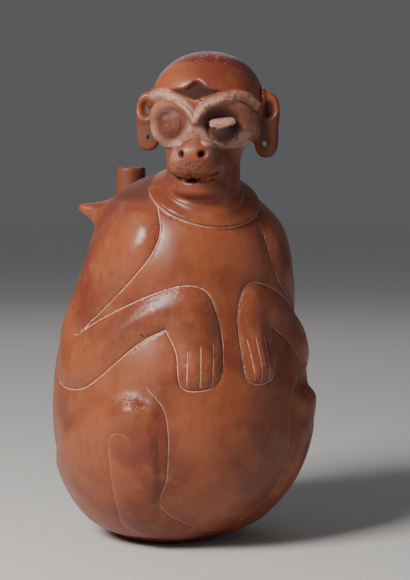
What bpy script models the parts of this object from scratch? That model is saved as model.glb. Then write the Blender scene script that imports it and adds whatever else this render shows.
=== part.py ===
"""Seated monkey effigy vessel: one hollow piece of burnished fired clay with a spout."""
import bmesh
import bpy
import numpy as np
from math import cos, radians, sin
from mathutils import Matrix, Vector

# Driving sizes, in metres
HEIGHT = 0.360
WALL = 0.007
BASE_WALL = 0.009
SPOUT_DIAMETER = 0.0225
SPOUT_BORE = 0.0135
SPOUT_LIP_ROUND = 0.0030
LUG_TIP_DIAMETER = 0.0050
LOBE_HOLE = 0.0042

# The figure is drawn 360 units tall, so one unit is this many metres
UNIT = HEIGHT / 360.0

# Body, in units: a belly with a rounder underside, and the shoulders on top
BELLY = (-2, 0, 94)
BELLY_RADII = (95, 99, 154)
FOOT_RADIUS = 36.9
BELLY_DROP = BELLY[2] / (1 - (FOOT_RADIUS / BELLY_RADII[0]) ** 2) ** 0.5
BASE_SHIFT = (-6, 10)
SHOULDERS = (-2, -10, 194)
SHOULDER_RADII = (71.5, 76, 80)
SHOULDER_POWER = 2.2
SHOULDER_BLEND = 12

# Collar: a raised round band that leans forward about the neck
COLLAR = (-3, -43, 256)
COLLAR_LEAN = 30
COLLAR_RADIUS = 40.5
COLLAR_RISE = 2.6
COLLAR_FADE = (200, 225)

# Head: turned to its right, measured from the middle of the skull
HEAD = (0, -44, 317)
HEAD_TURN = -37
HEAD_START = 225
SKULL = (0, 0, 4)
SKULL_RADII = (38.3, 43, 36.8)
SKULL_POWER = 2.1
NECK_RADIUS = 26
NECK_SHIFT = (-2, 6)
NECK_SPAN = (-90, -10)
HEAD_BLEND = 2.5
NECK_BLEND = 10
MASK = (0, 3.5, -6.5)
MASK_RADII = (37, 37, 19)
MASK_POWER = 3
MASK_BLEND = 3
MUZZLE = (-1, 31, -34.5)
MUZZLE_RADII = (20, 25, 13)
MUZZLE_POWER = 2.3
MUZZLE_BLEND = 7
CHIN = (-1.5, 23, -53)
CHIN_RADII = (18, 19, 9)
CHIN_BLEND = 4
NOSE = (0.3, 45, -28)
NOSE_RADII = (14, 12, 8)
NOSE_BLEND = 4
EYE = (18.8, -12)
EYE_RADII = (8.8, 8)
EYE_RISE = 4.5
GOGGLE = (19, -8)
GOGGLE_RADII = (20.5, 17.5)
GOGGLE_RISE = 1.8
SOCKET_RADIUS = 17
SOCKET_DEPTH = 5.0
SOCKET_SLOPE = 7
SOCKET_TOP = 4
SOCKET_LOW_SHARE = 0.25
BROW_HALF = 4.3
BROW_RISE = 3.0
CAP_RISE = 2.2
CAP_STEP = (-0.6, 1.2)
STEP_WIDTH = 1.8
FACE_FADE = (250, 256)
FACE_FRONT = (6, 14)
OFF_TORSO = (3, 7)
OFF_SKULL = (4, 6)
EAR = (42.5, 1, 0)
EAR_RADII = (10, 3.6, 15)
EAR_POWER = 2.2
EAR_BLEND = 3
EAR_CUP = (44.8, 2.5)
EAR_CUP_RADII = (5.2, 7)
EAR_CUP_DEPTH = 3.0
EAR_CUP_EDGE = (0.4, 1.1)
EAR_SIDE = (37.5, 39)
EAR_FRONT = (0.5, 2)
LOBES = [(-43.7, 1, -13.5), (42.7, 1, -16.5)]
LOBE_RADII = [(8.8, 3.4, 14.5), (8.8, 3.4, 16)]
LOBE_POWER = 2.6
LOBE_HOLES = {"right_lobe_hole": (-42.4, -18), "left_lobe_hole": (41.6, -22.5)}

# Spout at the back of the right shoulder, and the horn-like lug beside it
SPOUT = (-17, 60)
SPOUT_TOP = 274
SPOUT_FOOT = 205
SPOUT_SUNK = 20
SPOUT_BLEND = 5
BORE_SUNK = 18
RIM_TRIM = 1
LUG_ROOT = (-44, 29, 239)
LUG_TIP = (-65, 45, 245.5)
LUG_ROOT_RADIUS = 12
LUG_BLEND = 10

# Relief of the limbs, in units
ARM_RISE = 4.4
ARM_ROUND = 15
LEG_RISE = 3.4
LEG_ROUND = 22
CALF_RISE = 1.4
CALF_ROUND = 12
KNEE_RISE = 5.0
SOFT_EDGE = 30
LEG_SOFT = (14, 18)
CALF_SOFT = (9, 6, 9)
GROOVE_DEPTH = 1.3
GROOVE_HALF = 1.6
MOUTH_DEPTH = 4.0
MOUTH_HALF = 2.4

# The hollow: rings of points, the neck's span, and the rings' middles at some heights
CAVITY_SIDES = 24
CAVITY_BODY_RINGS = 17
CAVITY_BODY_TOP = 262
CAVITY_HEAD_RINGS = 8
CAVITY_HEAD_LOW = 272
CAVITY_TOP = 350
CAVITY_NECK_SPAN = (-95, -5)
CAVITY_NECK_BLEND = 8
CAVITY_HEAD_BLEND = 4
CAVITY_GAP = 0.1
CAVITY_AXIS_HEIGHTS = [9, 190, 240, 275]
CAVITY_AXIS_BACK = [6, -10, -30, HEAD[1]]

# How far the cutters reach past the clay
CUT_PAST_RIM = 10
CUT_UNDER_BASE = 60

# Mesh density, in units, and how far the rough head stands outside the real one
SEARCH_REACH = 150.0
SEARCH_ROUNDS = 30
SWELL = 2
BLOCK_LIFT = 60
BLOCK_TUCK = 9
SETTLE_ROUNDS = 6
LAST_ROUNDS = 2
SHARP_DEGREES = 50
BLOCK_CELL = 2.0
LINE_REACH = 3.2
LINE_EDGE = 1.2
FINE_TRIANGLES = 8200

# Limb outlines on the body as (degrees from the front, height in units)
RIGHT_ARM_INNER = [(-42, 257), (-36, 236), (-39, 219), (-47, 204), (-59, 187), (-83, 157)]
RIGHT_FOREARM = [(-83, 157), (-70, 168), (-53, 180), (-34, 192), (-21, 196), (-12, 190), (-7, 171)]
RIGHT_HAND = [(-7, 171), (-6, 153), (-8, 130), (-16, 123), (-25, 126), (-27, 149), (-32, 165)]
RIGHT_UNDERARM = [(-32, 165), (-44, 155), (-64, 128), (-75, 119), (-91, 118), (-101, 126)]
RIGHT_ARM_BACK = [(-101, 126), (-113, 152), (-114, 188), (-103, 228), (-76, 254), (-42, 257)]
LEFT_ARM_INNER = [(25, 248), (23, 232), (26, 211), (34, 193), (57, 174), (83, 153)]
LEFT_FOREARM = [(83, 153), (58, 169), (39, 182), (27, 190), (12, 197), (5, 190), (2, 172)]
LEFT_HAND = [(2, 172), (3, 140), (5, 128), (13, 125), (20, 132), (20, 150), (22, 165)]
LEFT_UNDERARM = [(22, 165), (35, 152), (45, 137), (64, 126), (76, 120), (88, 118), (101, 127)]
LEFT_ARM_BACK = [(101, 127), (113, 152), (114, 188), (103, 228), (70, 255), (25, 248)]
RIGHT_LEG_INNER = [(-39, 124), (-32, 110), (-30, 90), (-31, 60), (-35, 35), (-16, 18), (5, 12)]
RIGHT_LEG_BASE = [(5, 12), (-10, 5), (-50, 5), (-90, 6), (-122, 18), (-122, 50), (-100, 78)]
RIGHT_LEG_TOP = [(-100, 78), (-79, 103), (-62, 117), (-46, 126), (-39, 124)]
LEFT_LEG_INNER = [(39, 125), (30, 112), (29, 88), (31, 60), (31, 38), (22, 21), (5, 12)]
LEFT_LEG_BASE = [(5, 12), (14, 5), (50, 5), (90, 6), (122, 18), (122, 50), (100, 78)]
LEFT_LEG_TOP = [(100, 78), (79, 103), (62, 117), (46, 127), (39, 125)]
RIGHT_CALF = [(-46, 90), (-51, 92), (-55, 86), (-56, 66), (-58, 39), (-63, 18)]
LEFT_CALF = [(46, 90), (51, 92), (55, 86), (56, 66), (58, 39), (63, 18)]
CALF_TOPS = [[(-34, 98), (-40, 97), (-46, 90)], [(33, 98), (40, 97), (46, 90)]]
CALF_FEET = [[(-63, 18), (-50, 10), (-37, 26)], [(63, 18), (50, 10), (35, 26)]]
SHINS = [[(-37, 26), (-33, 60), (-34, 98)], [(35, 26), (33, 60), (33, 98)]]
KNEES = [(-45, 108), (44, 109)]
KNEE_SPREAD = 19
RIGHT_FINGERS = [[(-22, 149), (-22.5, 127)], [(-16.5, 152), (-17, 126)], [(-11, 154), (-12, 127)]]
LEFT_FINGERS = [[(5.5, 156), (7.5, 130)], [(9.5, 157), (11, 128)], [(14.5, 157), (15.5, 129)]]

# Lines on the face as (towards its left, height), from the middle of the skull
BROW = [(4, -13), (9, 3), (16, 11), (27, 9), (36, 1)]
MOUTH = [(-18.5, -42.8), (-11, -45.3), (-2, -46.8), (5, -47), (10.5, -46), (16, -42.6)]
NOSTRILS = [(-7.4, -30.2, 2.9), (8.7, -30, 3.4)]
NOSTRIL_DEPTH = 4.0
CAP_PEAK_DEGREES = 5.5
CAP_EDGE_DEGREES = [-180, -110, -62, -13, 0, 14, 34, 62, 110, 180]
CAP_EDGE_HEIGHTS = [-12, -6, 12.5, 15.5, 19, 13.7, 12.6, 7, -6, -12]

CLAY_COLOR = (0.40, 0.155, 0.070, 1)
CLAY_ROUGHNESS = 0.36


def vec(*values):
    return np.array(values, float)


def fuse(a, b, blend):
    """Join two distance fields with a rounded valley."""
    share = np.clip(0.5 + 0.5 * (b - a) / blend, 0, 1)
    return b + (a - b) * share - blend * share * (1 - share)


def blob(p, centre, radii, power=2.0):
    """Distance to an ellipsoid, or to a boxier one when the power is over 2."""
    q = np.abs(p - vec(*centre)) / radii
    size = np.maximum((q ** power).sum(-1) ** (1 / power), 1e-6)
    slope = np.sqrt(((np.maximum(q, 1e-6) ** (power - 1) / radii) ** 2).sum(-1)) * size ** (1 - power)
    return (size - 1) / np.maximum(slope, 1e-6)


def horn(p, root, tip, root_radius, tip_radius):
    """Distance to a tapered rod with round ends."""
    axis = vec(*tip) - vec(*root)
    along = np.clip((p - vec(*root)) @ axis / (axis @ axis), 0, 1)
    near = vec(*root) + along[:, None] * axis
    return np.linalg.norm(p - near, axis=-1) - root_radius - (tip_radius - root_radius) * along


def upright_rod(p, centre, radius, low, high, lip):
    """Distance to an upright cylinder whose edges are rounded by lip."""
    out = np.hypot(p[:, 0] - centre[0], p[:, 1] - centre[1]) - radius + lip
    rise = np.abs(p[:, 2] - (low + high) / 2) - (high - low) / 2 + lip
    corner = np.hypot(np.maximum(out, 0), np.maximum(rise, 0))
    return corner + np.minimum(np.maximum(out, rise), 0) - lip


def ease(value, start, end):
    """Go smoothly from 0 at start to 1 at end."""
    share = np.clip((value - start) / (end - start), 0, 1)
    return share * share * (3 - 2 * share)


def pillow(distance, reach):
    """Rise from 0 at a crisp edge to a rounded 1 at reach."""
    return np.sin(np.clip(distance / reach, 0, 1) * np.pi / 2)


def body(p):
    low = np.clip((BELLY[2] - p[:, 2:3]) / BELLY[2], 0, 1) ** 2
    q = p - low * vec(*BASE_SHIFT, 0)
    radii = np.where(q[:, 2:3] > BELLY[2], vec(*BELLY_RADII), vec(*BELLY_RADII[:2], BELLY_DROP))
    shoulders = blob(q, SHOULDERS, vec(*SHOULDER_RADII), SHOULDER_POWER)
    return fuse(blob(q, BELLY, radii), shoulders, SHOULDER_BLEND)


def face_axes():
    """The face's left, front and up directions."""
    turn = radians(HEAD_TURN)
    return np.array([[cos(turn), sin(turn), 0], [sin(turn), -cos(turn), 0], [0, 0, 1.0]])


def to_face(p):
    return (p - vec(*HEAD)) @ face_axes().T


def from_face(q):
    return q @ face_axes() + vec(*HEAD)


def mirrored(q):
    """Fold the face's two sides onto one."""
    return np.stack([np.abs(q[:, 0]), q[:, 1], q[:, 2]], -1)


def skull(q):
    return blob(q, SKULL, vec(*SKULL_RADII), SKULL_POWER)


def neck(q, radius, low, high):
    flat = vec(1, 1, 0) * q
    tube = blob(flat, (*NECK_SHIFT, 0), vec(radius, radius, 1), MUZZLE_POWER)
    return np.maximum(tube, np.abs(q[:, 2] - (low + high) / 2) - (high - low) / 2)


def smooth_head(q):
    """The head's big forms, without carving."""
    field = fuse(skull(q), neck(q, NECK_RADIUS, *NECK_SPAN), NECK_BLEND)
    field = fuse(field, blob(q, MASK, vec(*MASK_RADII), MASK_POWER), MASK_BLEND)
    field = fuse(field, blob(q, MUZZLE, vec(*MUZZLE_RADII), MUZZLE_POWER), MUZZLE_BLEND)
    return fuse(field, blob(q, CHIN, vec(*CHIN_RADII), MUZZLE_POWER), CHIN_BLEND)


def ring(middle, radii, side):
    """Eight points round an oval drawn on one side of the face, closed."""
    turns = np.radians(np.arange(0, 361, 45))
    across = side * middle[0] + radii[0] * np.cos(turns)
    return np.stack([across, middle[1] + radii[1] * np.sin(turns)], -1)


def face_line(points, form=smooth_head):
    """Put a drawn line on the face's surface."""
    line = curve(points)
    near = np.zeros(len(line))
    far = np.full(len(line), SEARCH_REACH)
    for _ in range(SEARCH_ROUNDS):
        middle = (near + far) / 2
        inside = form(np.stack([line[:, 0], middle, line[:, 1]], -1)) < 0
        near = np.where(inside, middle, near)
        far = np.where(inside, far, middle)
    return np.stack([line[:, 0], near, line[:, 1]], -1)


def whole_head(q):
    """The head with its nose and ears."""
    side = mirrored(q)
    field = fuse(smooth_head(q), blob(q, NOSE, vec(*NOSE_RADII), MUZZLE_POWER), NOSE_BLEND)
    ear = blob(side, EAR, vec(*EAR_RADII), EAR_POWER)
    for centre, radii in zip(LOBES, LOBE_RADII):
        ear = fuse(ear, blob(q, centre, vec(*radii), LOBE_POWER), EAR_BLEND)
    return fuse(field, ear, EAR_BLEND)


def whole_figure(p):
    lug = horn(p, LUG_ROOT, LUG_TIP, LUG_ROOT_RADIUS, LUG_TIP_DIAMETER / UNIT / 2)
    field = fuse(body(p), lug, LUG_BLEND)
    low, high = SPOUT_FOOT - SPOUT_SUNK, SPOUT_TOP + RIM_TRIM
    spout = upright_rod(p, SPOUT, SPOUT_DIAMETER / UNIT / 2, low, high, SPOUT_LIP_ROUND / UNIT)
    field = fuse(field, spout, SPOUT_BLEND)
    near = p[:, 2] > HEAD_START
    field[near] = fuse(field[near], whole_head(to_face(p[near])), HEAD_BLEND)
    return field


def curve(points, steps=5):
    """A smooth line through a few points."""
    points = np.array(points, float)
    ends = np.vstack([2 * points[0] - points[1], points, 2 * points[-1] - points[-2]])
    line = []
    for before, start, end, after in zip(ends, ends[1:], ends[2:], ends[3:]):
        for t in np.arange(steps) / steps:
            bend = (2 * before - 5 * start + 4 * end - after) * t * t
            twist = (3 * start - before - 3 * end + after) * t ** 3
            line.append(0.5 * (2 * start + (end - before) * t + bend + twist))
    line.append(points[-1])
    return np.array(line)


def on_body(line):
    """Put a line of (degrees, height) on the body's surface."""
    turn = np.radians(line[:, 0])
    near = np.zeros(len(line))
    far = np.full(len(line), SEARCH_REACH)
    for _ in range(SEARCH_ROUNDS):
        middle = (near + far) / 2
        inside = body(np.stack([np.sin(turn) * middle, -np.cos(turn) * middle, line[:, 1]], -1)) < 0
        near = np.where(inside, middle, near)
        far = np.where(inside, far, middle)
    return np.stack([np.sin(turn) * near, -np.cos(turn) * near, line[:, 1]], -1)


def tube_distance(p, line, reach=1e9):
    """Distance from each point to a line in space, or reach where it is farther."""
    found = np.full(len(p), reach)
    low = line.min(0) - reach
    high = line.max(0) + reach
    close = np.where(((p > low) & (p < high)).all(1))[0]
    q = p[close]
    best = np.full(len(q), reach)
    for start, end in zip(line, line[1:]):
        step = end - start
        along = np.clip((q - start) @ step / max(step @ step, 1e-9), 0, 1)
        best = np.minimum(best, np.linalg.norm(q - start - along[:, None] * step, axis=1))
    found[close] = best
    return found


def inside_outline(across, height, outline):
    """True where a point lies in a closed outline."""
    inside = np.zeros(len(across), bool)
    for (x0, y0), (x1, y1) in zip(outline, np.roll(outline, -1, 0)):
        if y0 != y1:
            spans = (height < y0) != (height < y1)
            inside ^= spans & (across < x0 + (height - y0) * (x1 - x0) / (y1 - y0))
    return inside


class Limb:
    """A raised part of the body, with crisp drawn edges and soft hidden ones."""

    def __init__(self, crisp, soft, rise, rounding, softness):
        self.crisp = [curve(line) for line in crisp]
        self.soft = [curve(line) for line in soft]
        self.rise = rise
        self.rounding = rounding
        self.softness = softness
        self.crisp_on_body = [on_body(line) for line in self.crisp]
        self.soft_on_body = [on_body(line) for line in self.soft]

    def height(self, p, across):
        inside = inside_outline(across, p[:, 2], np.vstack(self.crisp + self.soft))
        chosen = np.where(inside)[0]
        q = p[chosen]
        crisp = np.min([tube_distance(q, line, self.rounding) for line in self.crisp_on_body], 0)
        rise = self.rise * pillow(crisp, self.rounding)
        for line, softness in zip(self.soft_on_body, self.softness):
            rise = rise * ease(tube_distance(q, line, softness), 0, softness)
        found = np.zeros(len(p))
        found[chosen] = rise
        return found


def make_limbs():
    arms = [
        Limb(
            [RIGHT_ARM_INNER, RIGHT_FOREARM, RIGHT_HAND, RIGHT_UNDERARM],
            [RIGHT_ARM_BACK], ARM_RISE, ARM_ROUND, [SOFT_EDGE]),
        Limb(
            [LEFT_ARM_INNER, LEFT_FOREARM, LEFT_HAND, LEFT_UNDERARM],
            [LEFT_ARM_BACK], ARM_RISE, ARM_ROUND, [SOFT_EDGE]),
    ]
    legs = [
        Limb([RIGHT_LEG_INNER], [RIGHT_LEG_BASE, RIGHT_LEG_TOP], LEG_RISE, LEG_ROUND, LEG_SOFT),
        Limb([LEFT_LEG_INNER], [LEFT_LEG_BASE, LEFT_LEG_TOP], LEG_RISE, LEG_ROUND, LEG_SOFT),
    ]
    for line, top, foot, shin in zip([RIGHT_CALF, LEFT_CALF], CALF_TOPS, CALF_FEET, SHINS):
        legs.append(Limb([line], [foot, shin, top], CALF_RISE, CALF_ROUND, CALF_SOFT))
    return arms, legs


class Relief:
    """Everything carved or raised on the smooth figure."""

    def __init__(self):
        self.arms, self.legs = make_limbs()
        drawn = [line for limb in self.arms + self.legs for line in limb.crisp_on_body]
        fingers = [on_body(curve(line)) for line in RIGHT_FINGERS + LEFT_FINGERS]
        self.grooves = drawn + fingers
        self.mouth = from_face(face_line(MOUTH))
        self.brows = []
        self.rims = []
        for side in (-1, 1):
            self.brows.append(from_face(face_line([(side * x, z) for x, z in BROW])))
            self.rims.append(from_face(face_line(ring(GOGGLE, GOGGLE_RADII, side))))
            self.rims.append(from_face(face_line(ring(EYE, EYE_RADII, side))))
        self.nostrils = [from_face(face_line([(x, z), (x, z + 0.1)], whole_head)) for x, z, _ in NOSTRILS]

    def lines(self):
        return self.grooves + [self.mouth] + self.nostrils + self.brows + self.rims

    def height(self, p):
        across = np.degrees(np.arctan2(p[:, 0], -p[:, 1]))
        on_torso = 1 - ease(body(p), *OFF_TORSO)
        rise = np.max([limb.height(p, across) for limb in self.arms], 0)
        leg = np.max([limb.height(p, across) for limb in self.legs[:2]], 0)
        calf = np.max([limb.height(p, across) for limb in self.legs[2:]], 0)
        knee = 0
        for spot in KNEES:
            away = np.linalg.norm(p - on_body(np.array([spot], float))[0], axis=1)
            knee = knee + KNEE_RISE * np.exp(-(away / KNEE_SPREAD) ** 2) * ease(leg, 0, LEG_RISE)
        rise = np.maximum(rise, leg + calf + knee)
        rise = np.maximum(rise, self.collar(p))
        groove = np.min([tube_distance(p, line, 4) for line in self.grooves], 0)
        rise = rise - GROOVE_DEPTH * np.exp(-(groove / GROOVE_HALF) ** 2)
        return rise * on_torso + self.face(p) + self.cap(p)

    def collar(self, p):
        lean = radians(COLLAR_LEAN)
        axis = vec(0, -sin(lean), cos(lean))
        offset = p - vec(*COLLAR)
        flat = np.linalg.norm(offset - (offset @ axis)[:, None] * axis, axis=1)
        within = 1 - ease(flat, COLLAR_RADIUS - STEP_WIDTH, COLLAR_RADIUS)
        return COLLAR_RISE * within * ease(p[:, 2], *COLLAR_FADE)

    def face(self, p):
        q = to_face(p)
        side = np.abs(q[:, 0])
        on_head = ease(p[:, 2], *FACE_FADE)
        cut = MOUTH_DEPTH * (1 - ease(tube_distance(p, self.mouth, 4), 0, MOUTH_HALF))
        for hole, (_, _, radius) in zip(self.nostrils, NOSTRILS):
            cut = cut + NOSTRIL_DEPTH * (1 - ease(tube_distance(p, hole, 6), 0, radius))
        above = q[:, 2] - GOGGLE[1]
        around = np.hypot(side - GOGGLE[0], above * GOGGLE_RADII[0] / GOGGLE_RADII[1])
        front = ease(q[:, 1], *FACE_FRONT)
        goggle = GOGGLE_RISE * (1 - ease(around, GOGGLE_RADII[0] - STEP_WIDTH, GOGGLE_RADII[0]))
        top = ease(above, -SOCKET_RADIUS, SOCKET_TOP)
        bowl = ease(SOCKET_RADIUS - around, 0, SOCKET_SLOPE)
        socket = SOCKET_DEPTH * bowl * (SOCKET_LOW_SHARE + (1 - SOCKET_LOW_SHARE) * top)
        brow = np.min([tube_distance(p, line, BROW_HALF) for line in self.brows], 0)
        brow = BROW_RISE * np.sqrt(1 - (brow / BROW_HALF) ** 2)
        ball = np.hypot((side - EYE[0]) / EYE_RADII[0], (q[:, 2] - EYE[1]) / EYE_RADII[1])
        eye = EYE_RISE * np.sqrt(np.clip(1 - ball ** 2, 0, 1))
        in_cup = ((side - EAR_CUP[0]) / EAR_CUP_RADII[0], (q[:, 2] - EAR_CUP[1]) / EAR_CUP_RADII[1])
        on_ear = ease(side, *EAR_SIDE) * ease(q[:, 1] - EAR[1], *EAR_FRONT)
        cut = cut + EAR_CUP_DEPTH * on_ear * (1 - ease(np.hypot(*in_cup), *EAR_CUP_EDGE))
        return (front * (goggle - socket + brow + eye) - cut) * on_head

    def cap(self, p):
        q = to_face(p)
        turn = np.degrees(np.arctan2(q[:, 0], q[:, 1])) - CAP_PEAK_DEGREES
        edge = np.interp(turn, CAP_EDGE_DEGREES, CAP_EDGE_HEIGHTS)
        on_skull = 1 - ease(skull(q), *OFF_SKULL)
        return CAP_RISE * ease(q[:, 2] - edge, *CAP_STEP) * on_skull


def block_out():
    """Rough overlapping solids that cover the whole figure."""
    upper_belly = (BELLY[0], BELLY[1], BELLY[2] + BLOCK_LIFT)
    upper_radii = vec(*BELLY_RADII) - vec(BLOCK_TUCK, BLOCK_TUCK, BLOCK_LIFT)
    blocks = [
        (BELLY, (*BELLY_RADII[:2], BELLY_DROP)),
        (upper_belly, upper_radii),
        (SHOULDERS, SHOULDER_RADII),
    ]
    mesh = bpy.data.meshes.new("block_out")
    form = bmesh.new()

    def ball(centre, radii, turn=Matrix.Identity(4), swell=0):
        place = Matrix.Translation(centre) @ turn @ Matrix.Diagonal((*(vec(*radii) + swell), 1))
        bmesh.ops.create_uvsphere(form, u_segments=48, v_segments=32, radius=1, matrix=place)

    def rod(root, tip, root_radius, tip_radius):
        span = Vector(tip) - Vector(root)
        turn = span.to_track_quat("Z", "Y").to_matrix().to_4x4()
        place = Matrix.Translation((Vector(tip) + Vector(root)) / 2) @ turn
        bmesh.ops.create_cone(form, cap_ends=True, segments=32, radius1=root_radius,
                              radius2=tip_radius, depth=span.length, matrix=place)

    for centre, radii in blocks:
        ball(centre, radii)
    turn = Matrix.Rotation(radians(HEAD_TURN), 4, "Z") @ Matrix.Scale(-1, 4, (0, 1, 0))
    head_parts = [
        (SKULL, SKULL_RADII),
        (MASK, MASK_RADII),
        (MUZZLE, MUZZLE_RADII),
        (CHIN, CHIN_RADII),
        (NOSE, NOSE_RADII),
    ]
    for side in (-1, 1):
        head_parts.append(((side * EAR[0], EAR[1], EAR[2]), EAR_RADII))
    head_parts.extend(zip(LOBES, LOBE_RADII))
    for centre, radii in head_parts:
        ball(from_face(vec(*centre)), radii, turn, SWELL)
    rod((HEAD[0], HEAD[1], HEAD[2] + NECK_SPAN[0]), HEAD, NECK_RADIUS, NECK_RADIUS)
    spout_radius = SPOUT_DIAMETER / UNIT / 2
    rod((*SPOUT, SPOUT_FOOT), (*SPOUT, SPOUT_TOP), spout_radius, spout_radius)
    rod(LUG_ROOT, LUG_TIP, LUG_ROOT_RADIUS, LUG_TIP_DIAMETER / UNIT / 2)
    bmesh.ops.recalc_face_normals(form, faces=form.faces)
    form.to_mesh(mesh)
    form.free()
    return mesh


def evaluated(obj):
    """The object's mesh with its modifiers applied, as a new mesh."""
    bpy.context.view_layer.update()
    view = bpy.context.evaluated_depsgraph_get()
    return bpy.data.meshes.new_from_object(obj.evaluated_get(view), depsgraph=view)


def vertices(mesh):
    found = np.empty(len(mesh.vertices) * 3, np.float32)
    mesh.vertices.foreach_get("co", found)
    return found.reshape(-1, 3).astype(float)


def set_vertices(mesh, points):
    mesh.vertices.foreach_set("co", points.astype(np.float32).ravel())
    mesh.update()


def slope(field, p, step=0.05):
    """The field's value and gradient at each point."""
    value = field(p)
    parts = [(field(p + step * axis) - value) / step for axis in np.eye(3)]
    return value, np.stack(parts, -1)


def settle(p, field, rounds):
    """Move points onto the surface where the field is zero."""
    for _ in range(rounds):
        value, gradient = slope(field, p)
        size = np.maximum((gradient ** 2).sum(1), 0.2)
        p = p - np.clip(value / size, -3, 3)[:, None] * gradient
    return p


def refine(mesh, lines):
    """Split the long edges that run beside a carved line."""
    for _ in range(2):
        p = vertices(mesh)
        close = np.min([tube_distance(p, line, LINE_REACH) for line in lines], 0) < LINE_REACH
        form = bmesh.new()
        form.from_mesh(mesh)
        form.verts.ensure_lookup_table()
        chosen = []
        for edge in form.edges:
            start, end = edge.verts
            if close[start.index] and close[end.index] and edge.calc_length() > LINE_EDGE:
                chosen.append(edge)
        bmesh.ops.subdivide_edges(form, edges=chosen, cuts=1, use_grid_fill=True)
        bmesh.ops.triangulate(form, faces=form.faces)
        form.to_mesh(mesh)
        form.free()


def link(name, mesh, collection):
    obj = bpy.data.objects.new(name, mesh)
    collection.objects.link(obj)
    return obj


def make_figure(collection):
    """The outside of the vessel, carved and brought down to a light mesh."""
    figure = link("vessel", block_out(), collection)
    remesh = figure.modifiers.new("one skin", "REMESH")
    remesh.mode = "VOXEL"
    remesh.voxel_size = BLOCK_CELL
    mesh = evaluated(figure)
    figure.modifiers.clear()
    relief = Relief()
    set_vertices(mesh, settle(vertices(mesh), whole_figure, SETTLE_ROUNDS))
    refine(mesh, relief.lines())
    p = settle(vertices(mesh), whole_figure, LAST_ROUNDS)
    _, gradient = slope(whole_figure, p)
    normal = gradient / np.maximum(np.linalg.norm(gradient, axis=1), 1e-6)[:, None]
    p = p + relief.height(p)[:, None] * normal
    set_vertices(mesh, p)
    figure.data = mesh
    light = figure.modifiers.new("light", "DECIMATE")
    light.ratio = FINE_TRIANGLES / (2 * len(mesh.vertices))
    figure.data = evaluated(figure)
    figure.modifiers.clear()
    figure.data.transform(Matrix.Scale(UNIT, 4))
    return figure


def hollow(p):
    """Distance field of the space inside the clay."""
    wall = WALL / UNIT
    q = to_face(p)
    inner_skull = blob(q, SKULL, vec(*SKULL_RADII) - wall, SKULL_POWER)
    inner_neck = neck(q, NECK_RADIUS - wall, *CAVITY_NECK_SPAN)
    inner_head = fuse(inner_skull, inner_neck, CAVITY_NECK_BLEND)
    field = fuse(body(p) + wall, inner_head, CAVITY_HEAD_BLEND)
    return np.maximum(field, BASE_WALL / UNIT - p[:, 2])


def make_cavity(collection):
    """The hollow, as a stack of rings from the base up into the head."""
    in_body = np.linspace(BASE_WALL / UNIT + CAVITY_GAP, CAVITY_BODY_TOP, CAVITY_BODY_RINGS)
    in_head = np.linspace(CAVITY_HEAD_LOW, CAVITY_TOP, CAVITY_HEAD_RINGS)
    turns = np.arange(CAVITY_SIDES) * 2 * np.pi / CAVITY_SIDES
    form = bmesh.new()
    rings = []
    for height in np.concatenate([in_body, in_head]):
        axis = vec(0, np.interp(height, CAVITY_AXIS_HEIGHTS, CAVITY_AXIS_BACK), height)
        spokes = np.stack([np.sin(turns), np.cos(turns), 0 * turns], -1)
        near = np.zeros(CAVITY_SIDES)
        far = np.full(CAVITY_SIDES, SEARCH_REACH)
        for _ in range(SEARCH_ROUNDS):
            reach = (near + far) / 2
            inside = hollow(axis + reach[:, None] * spokes) < 0
            near = np.where(inside, reach, near)
            far = np.where(inside, far, reach)
        points = (axis + near[:, None] * spokes) * UNIT
        rings.append([form.verts.new(Vector(point)) for point in points])
    for low, high in zip(rings, rings[1:]):
        for i in range(CAVITY_SIDES):
            j = (i + 1) % CAVITY_SIDES
            form.faces.new((low[i], low[j], high[j], high[i]))
    form.faces.new(rings[0])
    form.faces.new(rings[-1])
    bmesh.ops.recalc_face_normals(form, faces=form.faces)
    mesh = bpy.data.meshes.new("cavity")
    form.to_mesh(mesh)
    form.free()
    return link("cavity", mesh, collection)


def cylinder_cutter(name, collection, start, end, diameter, segments):
    span = Vector(end) - Vector(start)
    form = bmesh.new()
    turn = span.to_track_quat("Z", "Y").to_matrix().to_4x4()
    place = Matrix.Translation((Vector(start) + Vector(end)) / 2) @ turn
    bmesh.ops.create_cone(form, cap_ends=True, segments=segments, radius1=diameter / 2,
                          radius2=diameter / 2, depth=span.length, matrix=place)
    mesh = bpy.data.meshes.new(name)
    form.to_mesh(mesh)
    form.free()
    return link(name, mesh, collection)


def make_cutters(collection):
    """The cavity, the spout's bore, the ear holes and the flat under the base."""
    cutters = [make_cavity(collection)]
    x, y = SPOUT[0] * UNIT, SPOUT[1] * UNIT
    bottom = (x, y, (SPOUT_FOOT - BORE_SUNK) * UNIT)
    rim = (x, y, SPOUT_TOP * UNIT)
    top = (x, y, (SPOUT_TOP + CUT_PAST_RIM) * UNIT)
    cutters.append(cylinder_cutter("spout_bore", collection, bottom, top, SPOUT_BORE, 32))
    cutters.append(cylinder_cutter("rim_flat", collection, rim, top, 2 * SPOUT_DIAMETER, 32))
    for name, (across, height) in LOBE_HOLES.items():
        back = Vector(from_face(vec(across, EAR[1] - EAR_RADII[2], height))) * UNIT
        front = Vector(from_face(vec(across, EAR[1] + EAR_RADII[2], height))) * UNIT
        cutters.append(cylinder_cutter(name, collection, back, front, LOBE_HOLE, 12))
    form = bmesh.new()
    under = CUT_UNDER_BASE * UNIT
    place = Matrix.Translation((0, 0, -under)) @ Matrix.Diagonal((4 * under, 4 * under, 2 * under, 1))
    bmesh.ops.create_cube(form, size=1, matrix=place)
    mesh = bpy.data.meshes.new("base_flat")
    form.to_mesh(mesh)
    form.free()
    cutters.append(link("base_flat", mesh, collection))
    for cutter in cutters:
        cutter.hide_render = True
        cutter.display_type = "WIRE"
    return cutters


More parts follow.
